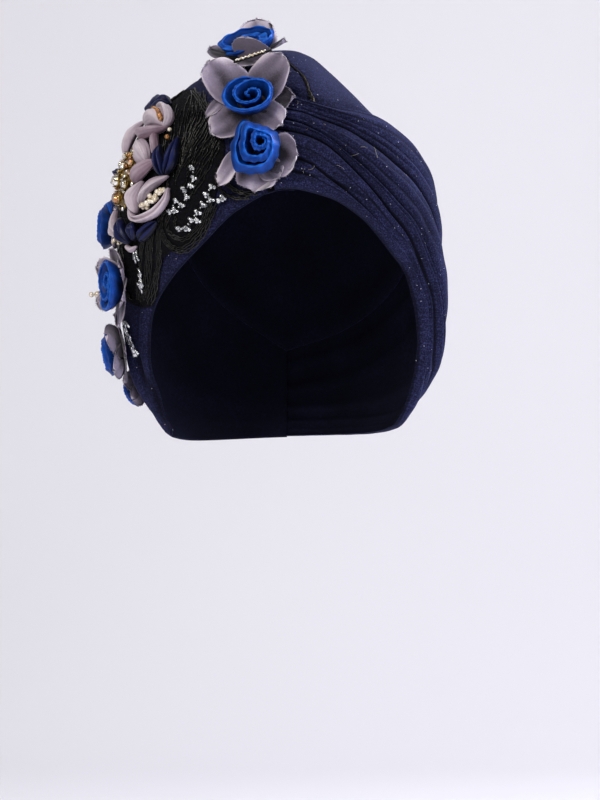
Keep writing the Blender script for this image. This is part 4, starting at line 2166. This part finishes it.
    def build(self) -> None:
        """Dresses the stones and makes the cups and beads."""
        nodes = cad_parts
        for number in range(1, len(self.stones) + 1):
            glass = self.wardrobe.amber if number in self.amber_stones else self.wardrobe.clear
            repaint(nodes[f"stone_{number}"], glass)
        repaint(nodes["stone_settings"], self.wardrobe.gilt)
        dress(joined("stone_cups", [self.cup(*row, self.wardrobe.gilt) for row in self.stones]), "gilt_metal")
        self.pearls()
        self.filler()
        self.chain()
        self.stack()


def repaint(part: Piece, material: Finish) -> None:
    """Gives a carried-over part a finish in each of its slots.

    Args:
        part: the part.
        material: the finish.
    """
    for slot in part.material_slots:
        slot.material = material
    LOG.info("%s: new finish %s", part.name, material.name)


@dataclass
class Studio(Maker):
    """Camera, lights and the pale sweep behind: places in mm."""

    camera_mm: tuple[float, float, float] = (8.5, -2200.0, -171.0)
    frame_height_mm: float = 488.0
    # Name, place, size, power, colour and aim of each light
    lights: tuple[tuple[Any, ...], ...] = (
        ("key", (-800, -1500, 1000), 800, 24, "#fffaf4", (0, 0, -80)),
        ("fill", (1300, -700, 500), 600, 17, "#eef2ff", (0, 0, -80)),
        ("top", (100, 250, 1300), 900, 5, "#ffffff", (0, 0, -80)),
        ("rim", (1250, 450, 750), 500, 30, "#e6eaff", (0, 0, -80)),
        ("sweep", (1900, 500, 1300), 1200, 6, "#fffdfa", (1500, 1900, -300)),
    )
    air: str = "#e9e8ea"
    air_strength: float = 0.32
    floor: float = -520.0
    back: float = 1900.0
    bend: float = 700.0

    def build(self) -> None:
        """Makes the studio."""
        self.camera()
        self.sweep()
        for row in self.lights:
            self.light(*row)
        world = bpy.data.worlds.new("studio_air")
        world.use_nodes = True
        sky = world.node_tree.nodes["Background"]
        sky.inputs["Color"].default_value = linear(self.air)
        sky.inputs["Strength"].default_value = self.air_strength
        bpy.context.scene.world = world
        bpy.context.scene.view_settings.view_transform = "Standard"

    def camera(self) -> None:
        """The camera, level with the middle of the photograph's frame."""
        data = bpy.data.cameras.new("camera")
        data.sensor_fit = "VERTICAL"
        data.angle = 2 * math.atan(self.frame_height_mm / 2 / -self.camera_mm[1])
        data.clip_end = 20
        camera = new_object("camera", data)
        camera.location = [v * MM for v in self.camera_mm]
        camera.rotation_euler = (math.pi / 2, 0, 0)
        bpy.context.scene.camera = camera

    @staticmethod
    def light(
        name: str, place: Sequence[float], size: float, power: float, code: str, aim: Sequence[float]
    ) -> None:
        """A square soft light aimed at the turban or at another place.

        Args:
            name: the light's name.
            place: where it stands, mm.
            size: its side, mm.
            power: its power, watts.
            code: its sRGB hex colour.
            aim: what it points at, mm.
        """
        data = bpy.data.lights.new(name, "AREA")
        data.energy, data.size, data.color = power, size * MM, linear(code)[:3]
        lamp = new_object(name, data)
        lamp.location = [v * MM for v in place]
        way = Vector([v * MM for v in aim]) - lamp.location
        lamp.rotation_euler = way.to_track_quat("-Z", "Y").to_euler()

    def sweep(self) -> None:
        """Floor and backdrop in one piece, joined by a wide curve."""
        profile = [(y, self.floor) for y in (-4200.0, -1000.0, self.back - self.bend)]
        for turn in np.linspace(0, math.pi / 2, 25)[1:]:
            depth = self.back - self.bend + self.bend * math.sin(turn)
            profile.append((depth, self.floor + self.bend - self.bend * math.cos(turn)))
        profile.append((self.back, 3200.0))
        points = [(x, y, z) for y, z in profile for x in (-4000.0, 4000.0)]
        faces = [(2 * k, 2 * k + 1, 2 * k + 3, 2 * k + 2) for k in range(len(profile) - 1)]
        mesh = bpy.data.meshes.new("backdrop")
        mesh.from_pydata((np.array(points) * MM).tolist(), [], faces)
        mesh.shade_smooth()
        mesh.materials.append(self.wardrobe.paper)
        new_object("backdrop", mesh)


def main() -> None:
    """Builds and dresses every piece."""
    logging.basicConfig(level=logging.INFO, format="%(message)s")
    Maker.wardrobe, Maker.growth = Wardrobe(), Growth()
    Studio().build()
    hood = Hood()
    hood.build()
    Lace(hood).build()
    for rose in ROSES:
        rose.build()
    for petal in SATIN_PETALS:
        petal.build()
    Jewels().build()


if __name__ == "__main__":
    main()
